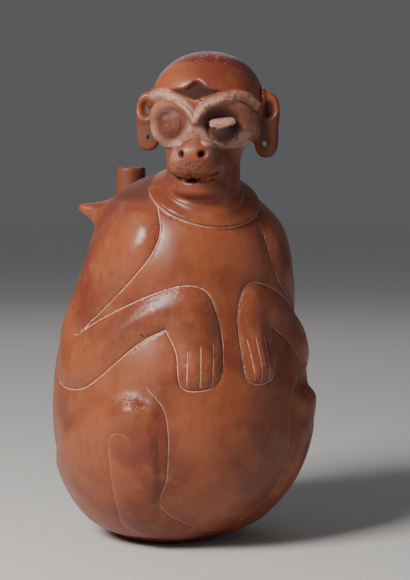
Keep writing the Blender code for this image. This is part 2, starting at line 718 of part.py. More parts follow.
def clay_material():
    material = bpy.data.materials.new("burnished clay")
    material.use_nodes = True
    shader = material.node_tree.nodes["Principled BSDF"]
    shader.inputs["Base Color"].default_value = CLAY_COLOR
    shader.inputs["Roughness"].default_value = CLAY_ROUGHNESS
    shader.inputs["Metallic"].default_value = 0.0
    return material


def new_collection(name):
    collection = bpy.data.collections.new(name)
    bpy.context.scene.collection.children.link(collection)
    return collection


def build():
    for obj in list(bpy.data.objects):
        bpy.data.objects.remove(obj)
    parts = new_collection("monkey effigy vessel")
    tools = new_collection("cutters")
    figure = make_figure(parts)
    figure.data.materials.clear()
    figure.data.materials.append(clay_material())
    for cutter in make_cutters(tools):
        cut = figure.modifiers.new(cutter.name, "BOOLEAN")
        cut.operation = "DIFFERENCE"
        cut.solver = "EXACT"
        cut.object = cutter
    figure.data.shade_smooth()
    figure.data.set_sharp_from_angle(angle=radians(SHARP_DEGREES))


build()
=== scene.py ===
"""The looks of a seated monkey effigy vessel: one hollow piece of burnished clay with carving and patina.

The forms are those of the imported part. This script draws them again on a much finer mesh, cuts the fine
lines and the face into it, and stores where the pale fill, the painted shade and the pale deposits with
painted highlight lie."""

from math import cos, radians, sin

import bmesh
import bpy
import numpy as np
from mathutils import Matrix, Vector

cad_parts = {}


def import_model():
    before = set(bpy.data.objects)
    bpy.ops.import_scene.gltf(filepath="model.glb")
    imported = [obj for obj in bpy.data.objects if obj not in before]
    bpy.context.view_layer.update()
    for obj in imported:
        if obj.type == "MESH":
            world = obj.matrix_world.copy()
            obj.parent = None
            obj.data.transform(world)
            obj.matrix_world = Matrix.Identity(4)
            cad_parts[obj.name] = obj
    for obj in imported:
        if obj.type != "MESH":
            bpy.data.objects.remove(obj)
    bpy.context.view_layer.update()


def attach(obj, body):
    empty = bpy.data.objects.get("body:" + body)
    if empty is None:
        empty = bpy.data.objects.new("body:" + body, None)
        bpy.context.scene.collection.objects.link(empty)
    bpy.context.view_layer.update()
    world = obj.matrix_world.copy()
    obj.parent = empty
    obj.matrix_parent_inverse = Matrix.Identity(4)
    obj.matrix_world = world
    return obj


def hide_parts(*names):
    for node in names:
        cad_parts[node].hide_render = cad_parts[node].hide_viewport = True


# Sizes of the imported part, in metres
WALL = 0.007
BASE_WALL = 0.009
SPOUT_DIAMETER = 0.0225
SPOUT_BORE = 0.0135
SPOUT_LIP_ROUND = 0.0030
LUG_TIP_DIAMETER = 0.0050
LOBE_HOLE = 0.0042

# The figure is drawn 360 units tall, so one unit is this many metres
UNIT = 0.001

# Body, in units: a belly with a rounder underside, and the shoulders on top
BELLY = (-2, 0, 94)
BELLY_RADII = (95, 99, 154)
FOOT_RADIUS = 36.9
BELLY_DROP = BELLY[2] / (1 - (FOOT_RADIUS / BELLY_RADII[0]) ** 2) ** 0.5
BASE_SHIFT = (-6, 10)
SHOULDERS = (-2, -10, 194)
SHOULDER_RADII = (71.5, 76, 80)
SHOULDER_POWER = 2.2
SHOULDER_BLEND = 12

# Collar: a raised round band that leans forward about the neck
COLLAR = (-3, -43, 256)
COLLAR_LEAN = 30
COLLAR_RADIUS = 40.5
COLLAR_RISE = 2.6
COLLAR_STEP = 1.4
COLLAR_FADE = (200, 225)

# Head: turned to its right, measured from the middle of the skull
HEAD = (0, -44, 317)
HEAD_TURN = -37
HEAD_START = 225
SKULL = (0, 0, 4)
SKULL_RADII = (38.3, 43, 36.8)
SKULL_POWER = 2.1
NECK_RADIUS = 26
NECK_SHIFT = (-2, 6)
NECK_SPAN = (-90, -10)
HEAD_POWER = 2.3
NECK_BLEND = 10
HEAD_BLEND = 2.5
MASK = (0, 3.5, -6.5)
MASK_RADII = (37, 37, 19)
MASK_POWER = 3
MASK_BLEND = 3
MUZZLE = (-1, 31, -34.5)
MUZZLE_RADII = (20, 25, 13)
MUZZLE_BLEND = 7
CHIN = (-1.5, 23, -53)
CHIN_RADII = (18, 19, 9)
CHIN_BLEND = 4
NOSE = (0.3, 45, -28)
NOSE_RADII = (14, 12, 8)
NOSE_BLEND = 4
EYE = (18.8, -12)
EYE_RADII = (8.8, 8)
EYE_RISE = 4.5
GOGGLE = (19, -8)
GOGGLE_RADII = (20.5, 17.5)
GOGGLE_RISE = 1.8
GOGGLE_STEP = 1.2
SOCKET_RADIUS = 17
SOCKET_DEPTH = 5.0
SOCKET_SLOPE = 7
SOCKET_TOP = 4
SOCKET_LOW_SHARE = 0.3
BROW_HALF = 4.3
BROW_RISE = 3.0
CAP_RISE = 2.2
CAP_STEP = (-0.8, 1.1)
FACE_FADE = (250, 256)
FACE_FRONT = (6, 14)
OFF_TORSO = (3, 7)
OFF_SKULL = (4, 6)
EAR = (42.5, 1, 0)
EAR_RADII = (10, 3.6, 15)
EAR_POWER = 2.2
EAR_BLEND = 3
EAR_CUP = (44.8, 2.5)
EAR_CUP_RADII = (5.2, 7)
EAR_CUP_DEPTH = 3.4
EAR_CUP_EDGE = (0.4, 1.1)
EAR_SIDE = (37.5, 39)
EAR_FRONT = (0.5, 2)
EAR_RIM_RISE = 0.9
EAR_RIM = 1.3
EAR_RIM_WIDTH = 0.2
LOBES = [(-43.7, 1, -13.5), (42.7, 1, -16.5)]
LOBE_RADII = [(8.8, 3.4, 14.5), (8.8, 3.4, 16)]
LOBE_POWER = 2.6
LOBE_SIDE = (37, 39.5)
LOBE_TOP = (-1, 8)
LOBE_HOLES = {"right_lobe_hole": (-42.4, -18), "left_lobe_hole": (41.6, -22.5)}

# Spout at the back of the right shoulder, and the horn-like lug beside it
SPOUT = (-17, 60)
SPOUT_TOP = 274
SPOUT_FOOT = 205
SPOUT_SUNK = 20
SPOUT_BLEND = 5
BORE_SUNK = 18
RIM_TRIM = 1
LUG_ROOT = (-44, 29, 239)
LUG_TIP = (-65, 45, 245.5)
LUG_ROOT_RADIUS = 12
LUG_BLEND = 10

# Relief of the limbs, in units
ARM_RISE = 4.4
ARM_ROUND = 15
LEG_RISE = 3.4
LEG_ROUND = 22
CALF_RISE = 1.4
CALF_ROUND = 12
KNEE_RISE = 5.0
SOFT_EDGE = 30
LEG_SOFT = (14, 18)
CALF_SOFT = (9, 6, 9)
GROOVE_DEPTH = 0.8
GROOVE_HALF = 0.8
MOUTH_DEPTH = 3.2
MOUTH_HALF = 2.2

# Limb outlines on the body as (degrees from the front, height in units)
RIGHT_ARM_INNER = [(-42, 257), (-36, 236), (-39, 219), (-47, 204), (-59, 187), (-83, 157)]
RIGHT_FOREARM = [(-83, 157), (-70, 168), (-53, 180), (-34, 192), (-21, 196), (-12, 190), (-7, 171)]
RIGHT_HAND = [(-7, 171), (-6, 153), (-8, 130), (-16, 123), (-25, 126), (-27, 149), (-32, 165)]
RIGHT_UNDERARM = [(-32, 165), (-44, 155), (-64, 128), (-75, 119), (-91, 118), (-101, 126)]
RIGHT_ARM_BACK = [(-101, 126), (-113, 152), (-114, 188), (-103, 228), (-76, 254), (-42, 257)]
LEFT_ARM_INNER = [(25, 248), (23, 232), (26, 211), (34, 193), (57, 174), (83, 153)]
LEFT_FOREARM = [(83, 153), (58, 169), (39, 182), (27, 190), (12, 197), (5, 190), (2, 172)]
LEFT_HAND = [(2, 172), (3, 140), (5, 128), (13, 125), (20, 132), (20, 150), (22, 165)]
LEFT_UNDERARM = [(22, 165), (35, 152), (45, 137), (64, 126), (76, 120), (88, 118), (101, 127)]
LEFT_ARM_BACK = [(101, 127), (113, 152), (114, 188), (103, 228), (70, 255), (25, 248)]
RIGHT_LEG_INNER = [(-39, 124), (-32, 110), (-30, 90), (-31, 60), (-35, 35), (-16, 18), (5, 12)]
RIGHT_LEG_BASE = [(5, 12), (-10, 5), (-50, 5), (-90, 6), (-122, 18), (-122, 50), (-100, 78)]
RIGHT_LEG_TOP = [(-100, 78), (-79, 103), (-62, 117), (-46, 126), (-39, 124)]
LEFT_LEG_INNER = [(39, 125), (30, 112), (29, 88), (31, 60), (31, 38), (22, 21), (5, 12)]
LEFT_LEG_BASE = [(5, 12), (14, 5), (50, 5), (90, 6), (122, 18), (122, 50), (100, 78)]
LEFT_LEG_TOP = [(100, 78), (79, 103), (62, 117), (46, 127), (39, 125)]
RIGHT_CALF = [(-46, 90), (-51, 92), (-55, 86), (-56, 66), (-58, 39), (-63, 18)]
LEFT_CALF = [(46, 90), (51, 92), (55, 86), (56, 66), (58, 39), (63, 18)]
CALF_TOPS = [[(-34, 98), (-40, 97), (-46, 90)], [(33, 98), (40, 97), (46, 90)]]
CALF_FEET = [[(-63, 18), (-50, 10), (-37, 26)], [(63, 18), (50, 10), (35, 26)]]
SHINS = [[(-37, 26), (-33, 60), (-34, 98)], [(35, 26), (33, 60), (33, 98)]]
KNEES = [(-45, 108), (44, 109)]
KNEE_SPREAD = 19
RIGHT_FINGERS = [[(-22, 149), (-22.5, 127)], [(-16.5, 152), (-17, 126)], [(-11, 154), (-12, 127)]]
LEFT_FINGERS = [[(5.5, 156), (7.5, 130)], [(9.5, 157), (11, 128)], [(14.5, 157), (15.5, 129)]]

# Lines on the face as (towards its left, height), from the middle of the skull
MOUTH = [(-19.3, -43.7), (-10.1, -46), (-2.5, -47), (6.3, -45.8), (11.8, -44.2), (15.5, -42.5)]
NOSTRIL_DEPTH = 4.5
CAP_PEAK_DEGREES = 1.5
CAP_EDGE_DEGREES = [-180, -110, -62, -24, -11, 0, 11, 24, 40, 62, 110, 180]
CAP_EDGE_HEIGHTS = [-12, -6, 12.5, 15.3, 16.5, 21, 16.3, 14.2, 12.2, 7, -6, -12]
CREASES = [[(19.5, -38.5), (17.5, -42.5)], [(21, -41), (20, -45), (18.5, -50.5)]]
BROWS = [
    [(-38.8, 9.5), (-25.5, 12.5), (-15.5, 10.3), (-8.6, 6.3), (-3.5, 2), (0.8, -5)],
    [(37, 4), (34, 8.3), (28.5, 11), (21.5, 10.5), (14.5, 8), (8, 4.4), (4.5, 0.2), (0.8, -5)],
]

# Nostrils as (across, height, half width, half height), and how far forward they open
NOSTRILS = [(-7.3, -28.8, 2.5, 3.3), (8.2, -28.6, 3.4, 3.4)]
NOSTRIL_EDGE = (0.45, 1.1)
NOSTRIL_FRONT = (38, 42)

# Creases, lips and the notch in the upper lip, in units
CREASE_DEPTH = 0.6
CREASE_HALF = 1.2
FACE_REACH = 4
MOUTH_MIDDLE = -1.5
MOUTH_ENDS = (12, 18)
LOWER_LIP = (1.5, 3.6, 1.8)
UPPER_LIP = (0.5, 3.4, 2)
NOTCH = (1.2, 1.1, 2, 2.2)

# The bridge of the nose, between the eyes
BRIDGE_SIDE = (4, 9)
BRIDGE_TOP = (5, 11)
BRIDGE_FOOT = (19, 24)

# Eyes: the left one has a heavy lid over the ball, the right one is worn to a ringed lump
EYE_RING = 1.5
EYE_RING_SIZE = 1.12
EYE_RING_WIDTH = 0.13
LID = (18.7, -6.9)
LID_HALF = (9.4, 3.1)
LID_TILT = 7
LID_RISE = 2.3
LID_EDGE = (0.45, 1.25)
LID_SLANT = 2.8
WORN_EYE = (-19, -8.6)
WORN_RADIUS = 10.5
WORN_RISE = 2.4
WORN_SOCKET = 0.7
WORN_LUMP = (-22.5, -4.5)
LUMP_RISE = 2.4
LUMP_WIDTH = 4.2
RING_RISE = 0.28
RING_STEP = 2.4
RING_ENDS = (7, 9.5)
RING_SIDE = (-4, 3)

# The gap under the cap's peak, a shallow recess darkened with painted shade
GAP_LOW = 8.5
GAP_SPREAD = 0.35
GAP_DEPTH = 0.9
GAP_TOP = (-0.6, 0.9)
GAP_FOOT = (-0.9, 0.9)
GAP_ENDS = (30, 50)

# The dark red crown lies above height = a + b across + c forward
CROWN = (24.9, -0.058, 0.31)

CROWN_SOFT = 4

# Share of painted shade, pale deposit and painted highlight that each feature carries
# Painted shade in the sockets (darkest under the brows), in the ring round the left eyeball, on the ball
# under its lid and in the ear cups
SOCKET_SHADE = 0.95
SOCKET_SHADE_LOW = 0.2
RING_SHADE = 0.95
RING_SHADE_WIDTH = 0.2
BALL_SHADE = 0.6
CUP_SHADE = 0.9
# The lobes are darkened: partly their own darker clay, partly painted shade
LOBE_TONE_AND_SHADE = 0.7
# Painted shade in the gap under the cap's peak and in the mouth
GAP_SHADE = 0.9
MOUTH_SHADE = (1.0, 2.0)
# Pale deposit mixed with painted highlight on the brows and the goggles' lower rims
BROW_DEPOSIT_AND_HIGHLIGHT = 1.15
BROW_FADE = 0.7
RIM_DEPOSIT_AND_HIGHLIGHT = 0.9
RIM_SPAN = (19.5, 21)
RIM_LOW = (4, 14)
RIM_TOP_SHARE = 0.35
# A painted highlight on the top of the left eye's lid
LID_HIGHLIGHT = 0.85
SPECKLE_WIDTH = 15
SPECKLE_TOP = (31, 35)
SPECKLE_FOOT = (-47, -43.5)
# Pale spots on the nose as (share, across, height, squash, width)
BRIDGE_PALE = (0.7, 0.5, -14, 4, 7)
NOSE_PALE = [(0.8, -12.5, -29, 0.8, 4), (0.5, 14.5, -27, 0.8, 3.5)]

# Fine lines: (share of pale fill, share of depth) for arms, legs, calves and fingers, and fades in units
ARM_LINES = (1.0, 1.0)
LEG_LINES = (0.55, 0.8)
CALF_LINES = (0.3, 0.8)
FINGER_LINES = (0.9, 0.6)
COLLAR_GROOVE = 0.5
LINE_ENDS = (0.2, 0.8)
LINE_FADE = (1.6, 2.6)
UNDER_COLLAR = (0.3, 1.5)

# The hollow: rings of points, the neck's span, and the rings' middles at some heights
CAVITY_SIDES = 24
CAVITY_BODY_RINGS = 17
CAVITY_BODY_TOP = 262
CAVITY_HEAD_RINGS = 8
CAVITY_HEAD_LOW = 272
CAVITY_TOP = 350
CAVITY_NECK_SPAN = (-95, -5)
CAVITY_NECK_BLEND = 8
CAVITY_HEAD_BLEND = 4
CAVITY_GAP = 0.1
CAVITY_AXIS_HEIGHTS = [9, 190, 240, 275]
CAVITY_AXIS_BACK = [6, -10, -30, HEAD[1]]

# How far the cutters reach past the clay, in units
CUT_PAST_RIM = 10
CUT_UNDER_BASE = 60
CUT_PAST_EAR = 20

# The clay's noises as (scale, detail, stretch, shift, roughness)
EVEN = (1, 1, 1)
NOISES = {
    "clouds": (22, 4, EVEN, 0.3, 0.5),
    "patches": (60, 4, EVEN, 1.1, 0.5),
    "strokes": (240, 4, (1, 1, 0.3), 0.5, 0.5),
    "fine": (900, 2, EVEN, 0.2, 0.5),
    "flecks": (420, 3, EVEN, 2.2, 0.5),
    "specks": (900, 1, EVEN, 0.9, 0.5),
    "lip specks": (650, 3, EVEN, 3.1, 0.7),
    "scatter": (190, 6, EVEN, 1.7, 0.75),
    "wear": (130, 3, EVEN, 0.7, 0.5),
}
# Where each of them starts and is whole, and how strongly it shows
CLOUD_BAND = (0.35, 0.65)
OCHRE_BAND = (0.5, 0.75)
OCHRE_SHARE = 0.45
BROWN_BAND = (0.45, 0.75)
BROWN_SHARE = 0.25
CROWN_BAND = (0.15, 0.85)
CROWN_WAVER = 1.6
FLECK_BAND = (0.58, 0.66)
SPECK_BAND = (0.75, 0.79)
SPECK_SHARE = 0.7
# How patchy the painted shade is
SHADE_PATCH_BAND = (0.3, 0.7)
SHADE_PATCH_LEAST = 0.5
LIP_BAND = (0.44, 0.58)
LIP_SHARE = 0.85
SCATTER_BAND = (0.28, 0.62)
DEPOSIT_AND_HIGHLIGHT_SHARE = 0.8
WEAR_BAND = (0.3, 0.55)
FILL_LEAST = 0.4
CORE_BAND = (0.1, 0.42)
COLLAR_BAND = (0.15, 0.5)
COLLAR_SHARE = 0.6
PATCH_ROUGH = 0.22
LEAST_ROUGH = 0.24
# Roughness added where the pale fill, the painted shade and the pale marks lie
MARKED_ROUGH = 0.3
PALE_ROUGH_SHARE = 0.5
CLAY_SPECULAR = 0.4
STROKE_BUMP = 0.5
FINE_BUMP = 0.1
BUMP_STRENGTH = 0.07
BUMP_DISTANCE = 0.0006
FLOOR_ROUGHNESS = 0.9
FLOOR_SPECULAR = 0.1

# Mesh density, in units, and how the points are moved onto the surface
BLOCK_LIFT = 60
BLOCK_TUCK = 9
SEARCH_ROUNDS = 30
SETTLE_ROUNDS = 6
COLLAR_ROUNDS = 8
LAST_ROUNDS = 2
COLLAR_TURN_STEP = 6
LONG_EDGE = 1.35
BLOCK_CELL = 2.3
BODY_EDGE = 3.1
OUTSIDE_GAP = 0.3
HEAD_EDGE = 1.75
HEAD_LOW = 250
LINE_EDGE = 0.7
STEP_LIMIT = 0.45
LINE_REACH = 6.5
REFINE_ROUNDS = 5
SWELL = 2.0
SHARP_DEGREES = 75

# Clay, as linear colours
ORANGE_CLAY = (0.28, 0.076, 0.032, 1)
RED_CLAY = (0.17, 0.038, 0.021, 1)
OCHRE_CLAY = (0.33, 0.13, 0.045, 1)
BROWN_CLAY = (0.10, 0.028, 0.016, 1)
CROWN_RED = (0.14, 0.020, 0.018, 1)
CROWN_FLECK = (0.34, 0.13, 0.12, 1)
# Dark of the specks, also the colour of the painted shade in the sockets, ears and openings
DARK_SPECK_AND_SHADE = (0.022, 0.010, 0.008, 1)
# Pale deposit, also the colour of the painted highlight on the brows, rims and lid
PALE_DEPOSIT_AND_HIGHLIGHT = (0.50, 0.32, 0.26, 1)
PALE_FILL = (0.66, 0.40, 0.31, 1)

# The photograph's frame and camera
PICTURE = (410, 580)
CAMERA_TURN = -24
CAMERA_RISE = 6
CAMERA_AWAY = 1.5
CAMERA_TARGET = (0, 0, 0.175)
TARGET_PIXEL = (183, 302.8)
PIXEL = 0.0007445
SENSOR = 36

# Studio
FLOOR_HALF = 60
FLOOR_FADE = (0.9, 4.5)
FLOOR_COLOR = (0.62, 0.61, 0.60, 1)
WORLD_COLOR = (0.80, 0.82, 0.86, 1)
WORLD_STRENGTH = 0.13
LIGHTS = [
    ("key", (-1.15, -0.45, 1.05), (0.55, 0.55), 38, (1.0, 0.96, 0.91)),
    ("fill", (1.3, -1.2, 0.5), (1.2, 1.2), 2, (0.9, 0.94, 1.0)),
    ("rim", (0.4, 1.2, 0.9), (0.8, 0.8), 1.5, (1.0, 1.0, 1.0)),
]


def vec(*values):
    return np.array(values, float)


def fuse(a, b, blend):
    """Join two distance fields with a rounded valley."""
    share = np.clip(0.5 + 0.5 * (b - a) / blend, 0, 1)
    return b + (a - b) * share - blend * share * (1 - share)


def blob(p, centre, radii, power=2.0):
    """Distance to an ellipsoid, or to a boxier one when the power is over 2."""
    q = np.abs(p - vec(*centre)) / radii
    size = np.maximum((q ** power).sum(-1) ** (1 / power), 1e-6)
    slope = np.sqrt(((np.maximum(q, 1e-6) ** (power - 1) / radii) ** 2).sum(-1)) * size ** (1 - power)
    return (size - 1) / np.maximum(slope, 1e-6)


def horn(p, root, tip, root_radius, tip_radius):
    """Distance to a tapered rod with round ends."""
    axis = vec(*tip) - vec(*root)
    along = np.clip((p - vec(*root)) @ axis / (axis @ axis), 0, 1)
    near = vec(*root) + along[:, None] * axis
    return np.linalg.norm(p - near, axis=-1) - root_radius - (tip_radius - root_radius) * along


def upright_rod(p, centre, radius, low, high, lip):
    """Distance to an upright cylinder whose edges are rounded by lip."""
    out = np.hypot(p[:, 0] - centre[0], p[:, 1] - centre[1]) - radius + lip
    rise = np.abs(p[:, 2] - (low + high) / 2) - (high - low) / 2 + lip
    corner = np.hypot(np.maximum(out, 0), np.maximum(rise, 0))
    return corner + np.minimum(np.maximum(out, rise), 0) - lip


def ease(value, start, end):
    """Go smoothly from 0 at start to 1 at end."""
    share = np.clip((value - start) / (end - start), 0, 1)
    return share * share * (3 - 2 * share)


def pillow(distance, reach):
    """Rise from 0 at a crisp edge to a rounded 1 at reach."""
    return np.sin(np.clip(distance / reach, 0, 1) * np.pi / 2)


def body(p):
    low = np.clip((BELLY[2] - p[:, 2:3]) / BELLY[2], 0, 1) ** 2
    q = p - low * vec(*BASE_SHIFT, 0)
    radii = np.where(q[:, 2:3] > BELLY[2], vec(*BELLY_RADII), vec(*BELLY_RADII[:2], BELLY_DROP))
    shoulders = blob(q, SHOULDERS, vec(*SHOULDER_RADII), SHOULDER_POWER)
    return fuse(blob(q, BELLY, radii), shoulders, SHOULDER_BLEND)


def face_axes():
    """The face's left, front and up directions."""
    turn = radians(HEAD_TURN)
    return np.array([[cos(turn), sin(turn), 0], [sin(turn), -cos(turn), 0], [0, 0, 1.0]])


def to_face(p):
    return (p - vec(*HEAD)) @ face_axes().T


def from_face(q):
    return q @ face_axes() + vec(*HEAD)


def mirrored(q):
    """Fold the face's two sides onto one."""
    return np.stack([np.abs(q[:, 0]), q[:, 1], q[:, 2]], -1)


def skull(q):
    return blob(q, SKULL, vec(*SKULL_RADII), SKULL_POWER)


def neck(q, radius, low, high):
    flat = vec(1, 1, 0) * q
    tube = blob(flat, (*NECK_SHIFT, 0), vec(radius, radius, 1), HEAD_POWER)
    return np.maximum(tube, np.abs(q[:, 2] - (low + high) / 2) - (high - low) / 2)


def smooth_head(q):
    """The head's big forms, without carving."""
    field = fuse(skull(q), neck(q, NECK_RADIUS, *NECK_SPAN), NECK_BLEND)
    field = fuse(field, blob(q, MASK, vec(*MASK_RADII), MASK_POWER), MASK_BLEND)
    field = fuse(field, blob(q, MUZZLE, vec(*MUZZLE_RADII), HEAD_POWER), MUZZLE_BLEND)
    return fuse(field, blob(q, CHIN, vec(*CHIN_RADII), HEAD_POWER), CHIN_BLEND)


def face_line(points):
    """Put a drawn line on the face's surface."""
    line = curve(points)
    near = np.zeros(len(line))
    far = np.full(len(line), 90.0)
    for _ in range(SEARCH_ROUNDS):
        middle = (near + far) / 2
        inside = smooth_head(np.stack([line[:, 0], middle, line[:, 1]], -1)) < 0
        near = np.where(inside, middle, near)
        far = np.where(inside, far, middle)
    return np.stack([line[:, 0], near, line[:, 1]], -1)


def whole_head(q):
    """The head with its nose and ears."""
    side = mirrored(q)
    field = fuse(smooth_head(q), blob(q, NOSE, vec(*NOSE_RADII), HEAD_POWER), NOSE_BLEND)
    ear = blob(side, EAR, vec(*EAR_RADII), EAR_POWER)
    for centre, radii in zip(LOBES, LOBE_RADII):
        ear = fuse(ear, blob(q, centre, vec(*radii), LOBE_POWER), EAR_BLEND)
    return fuse(field, ear, EAR_BLEND)


def whole_figure(p):
    lug = horn(p, LUG_ROOT, LUG_TIP, LUG_ROOT_RADIUS, LUG_TIP_DIAMETER / UNIT / 2)
    field = fuse(body(p), lug, LUG_BLEND)
    low, high = SPOUT_FOOT - SPOUT_SUNK, SPOUT_TOP + RIM_TRIM
    spout = upright_rod(p, SPOUT, SPOUT_DIAMETER / UNIT / 2, low, high, SPOUT_LIP_ROUND / UNIT)
    field = fuse(field, spout, SPOUT_BLEND)
    near = p[:, 2] > HEAD_START
    field[near] = fuse(field[near], whole_head(to_face(p[near])), HEAD_BLEND)
    return field


def curve(points, steps=5):
    """A smooth line through a few points."""
    points = np.array(points, float)
    ends = np.vstack([2 * points[0] - points[1], points, 2 * points[-1] - points[-2]])
    line = []
    for before, start, end, after in zip(ends, ends[1:], ends[2:], ends[3:]):
        for t in np.arange(steps) / steps:
            bend = (2 * before - 5 * start + 4 * end - after) * t * t
            twist = (3 * start - before - 3 * end + after) * t ** 3
            line.append(0.5 * (2 * start + (end - before) * t + bend + twist))
    line.append(points[-1])
    return np.array(line)


def on_body(line):
    """Put a line of (degrees, height) on the body's surface."""
    turn = np.radians(line[:, 0])
    near = np.zeros(len(line))
    far = np.full(len(line), 150.0)
    for _ in range(SEARCH_ROUNDS):
        middle = (near + far) / 2
        inside = body(np.stack([np.sin(turn) * middle, -np.cos(turn) * middle, line[:, 1]], -1)) < 0
        near = np.where(inside, middle, near)
        far = np.where(inside, far, middle)
    return np.stack([np.sin(turn) * near, -np.cos(turn) * near, line[:, 1]], -1)


def tube_distance(p, line, reach=1e9):
    """Distance from each point to a line in space, or reach where it is farther."""
    found = np.full(len(p), reach)
    low = line.min(0) - reach
    high = line.max(0) + reach
    close = np.where(((p > low) & (p < high)).all(1))[0]
    q = p[close]
    best = np.full(len(q), reach)
    for start, end in zip(line, line[1:]):
        step = end - start
        along = np.clip((q - start) @ step / max(step @ step, 1e-9), 0, 1)
        best = np.minimum(best, np.linalg.norm(q - start - along[:, None] * step, axis=1))
    found[close] = best
    return found


def inside_outline(across, height, outline):
    """True where a point lies in a closed outline."""
    inside = np.zeros(len(across), bool)
    for (x0, y0), (x1, y1) in zip(outline, np.roll(outline, -1, 0)):
        if y0 != y1:
            spans = (height < y0) != (height < y1)
            inside ^= spans & (across < x0 + (height - y0) * (x1 - x0) / (y1 - y0))
    return inside


class Limb:
    """A raised part of the body, with crisp drawn edges and soft hidden ones."""

    def __init__(self, crisp, soft, rise, rounding, softness):
        self.crisp = [curve(line) for line in crisp]
        self.soft = [curve(line) for line in soft]
        self.rise = rise
        self.rounding = rounding
        self.softness = softness
        self.crisp_on_body = [on_body(line) for line in self.crisp]
        self.soft_on_body = [on_body(line) for line in self.soft]

    def height(self, p, across):
        inside = inside_outline(across, p[:, 2], np.vstack(self.crisp + self.soft))
        chosen = np.where(inside)[0]
        q = p[chosen]
        crisp = np.min([tube_distance(q, line, self.rounding) for line in self.crisp_on_body], 0)
        rise = self.rise * pillow(crisp, self.rounding)
        for line, softness in zip(self.soft_on_body, self.softness):
            rise = rise * ease(tube_distance(q, line, softness), 0, softness)
        found = np.zeros(len(p))
        found[chosen] = rise
        return found


def make_limbs():
    arms = [
        Limb(
            [RIGHT_ARM_INNER, RIGHT_FOREARM, RIGHT_HAND, RIGHT_UNDERARM],
            [RIGHT_ARM_BACK], ARM_RISE, ARM_ROUND, [SOFT_EDGE]),
        Limb(
            [LEFT_ARM_INNER, LEFT_FOREARM, LEFT_HAND, LEFT_UNDERARM],
            [LEFT_ARM_BACK], ARM_RISE, ARM_ROUND, [SOFT_EDGE]),
    ]
    legs = [
        Limb([RIGHT_LEG_INNER], [RIGHT_LEG_BASE, RIGHT_LEG_TOP], LEG_RISE, LEG_ROUND, LEG_SOFT),
        Limb([LEFT_LEG_INNER], [LEFT_LEG_BASE, LEFT_LEG_TOP], LEG_RISE, LEG_ROUND, LEG_SOFT),
    ]
    for line, top, foot, shin in zip([RIGHT_CALF, LEFT_CALF], CALF_TOPS, CALF_FEET, SHINS):
        legs.append(Limb([line], [foot, shin, top], CALF_RISE, CALF_ROUND, CALF_SOFT))
    return arms, legs


def bump(distance, width):
    return np.exp(-(distance / width) ** 2)


def line_side(p, normal, line, reach):
    """Distance to a line, and how far to its left or right each point lies."""
    best = np.full(len(p), reach)
    side = np.full(len(p), reach)
    close = np.where(((p > line.min(0) - reach) & (p < line.max(0) + reach)).all(1))[0]
    q, up = p[close], normal[close]
    for start, end in zip(line, line[1:]):
        step = end - start
        length = np.sqrt(max(step @ step, 1e-9))
        along = np.clip((q - start) @ step / length ** 2, 0, 1)
        offset = q - start - along[:, None] * step
        away = np.linalg.norm(offset, axis=1)
        nearer = away < best[close]
        chosen = close[nearer]
        best[chosen] = away[nearer]
        side[chosen] = (offset * np.cross(step / length, up)).sum(1)[nearer]
    return best, side


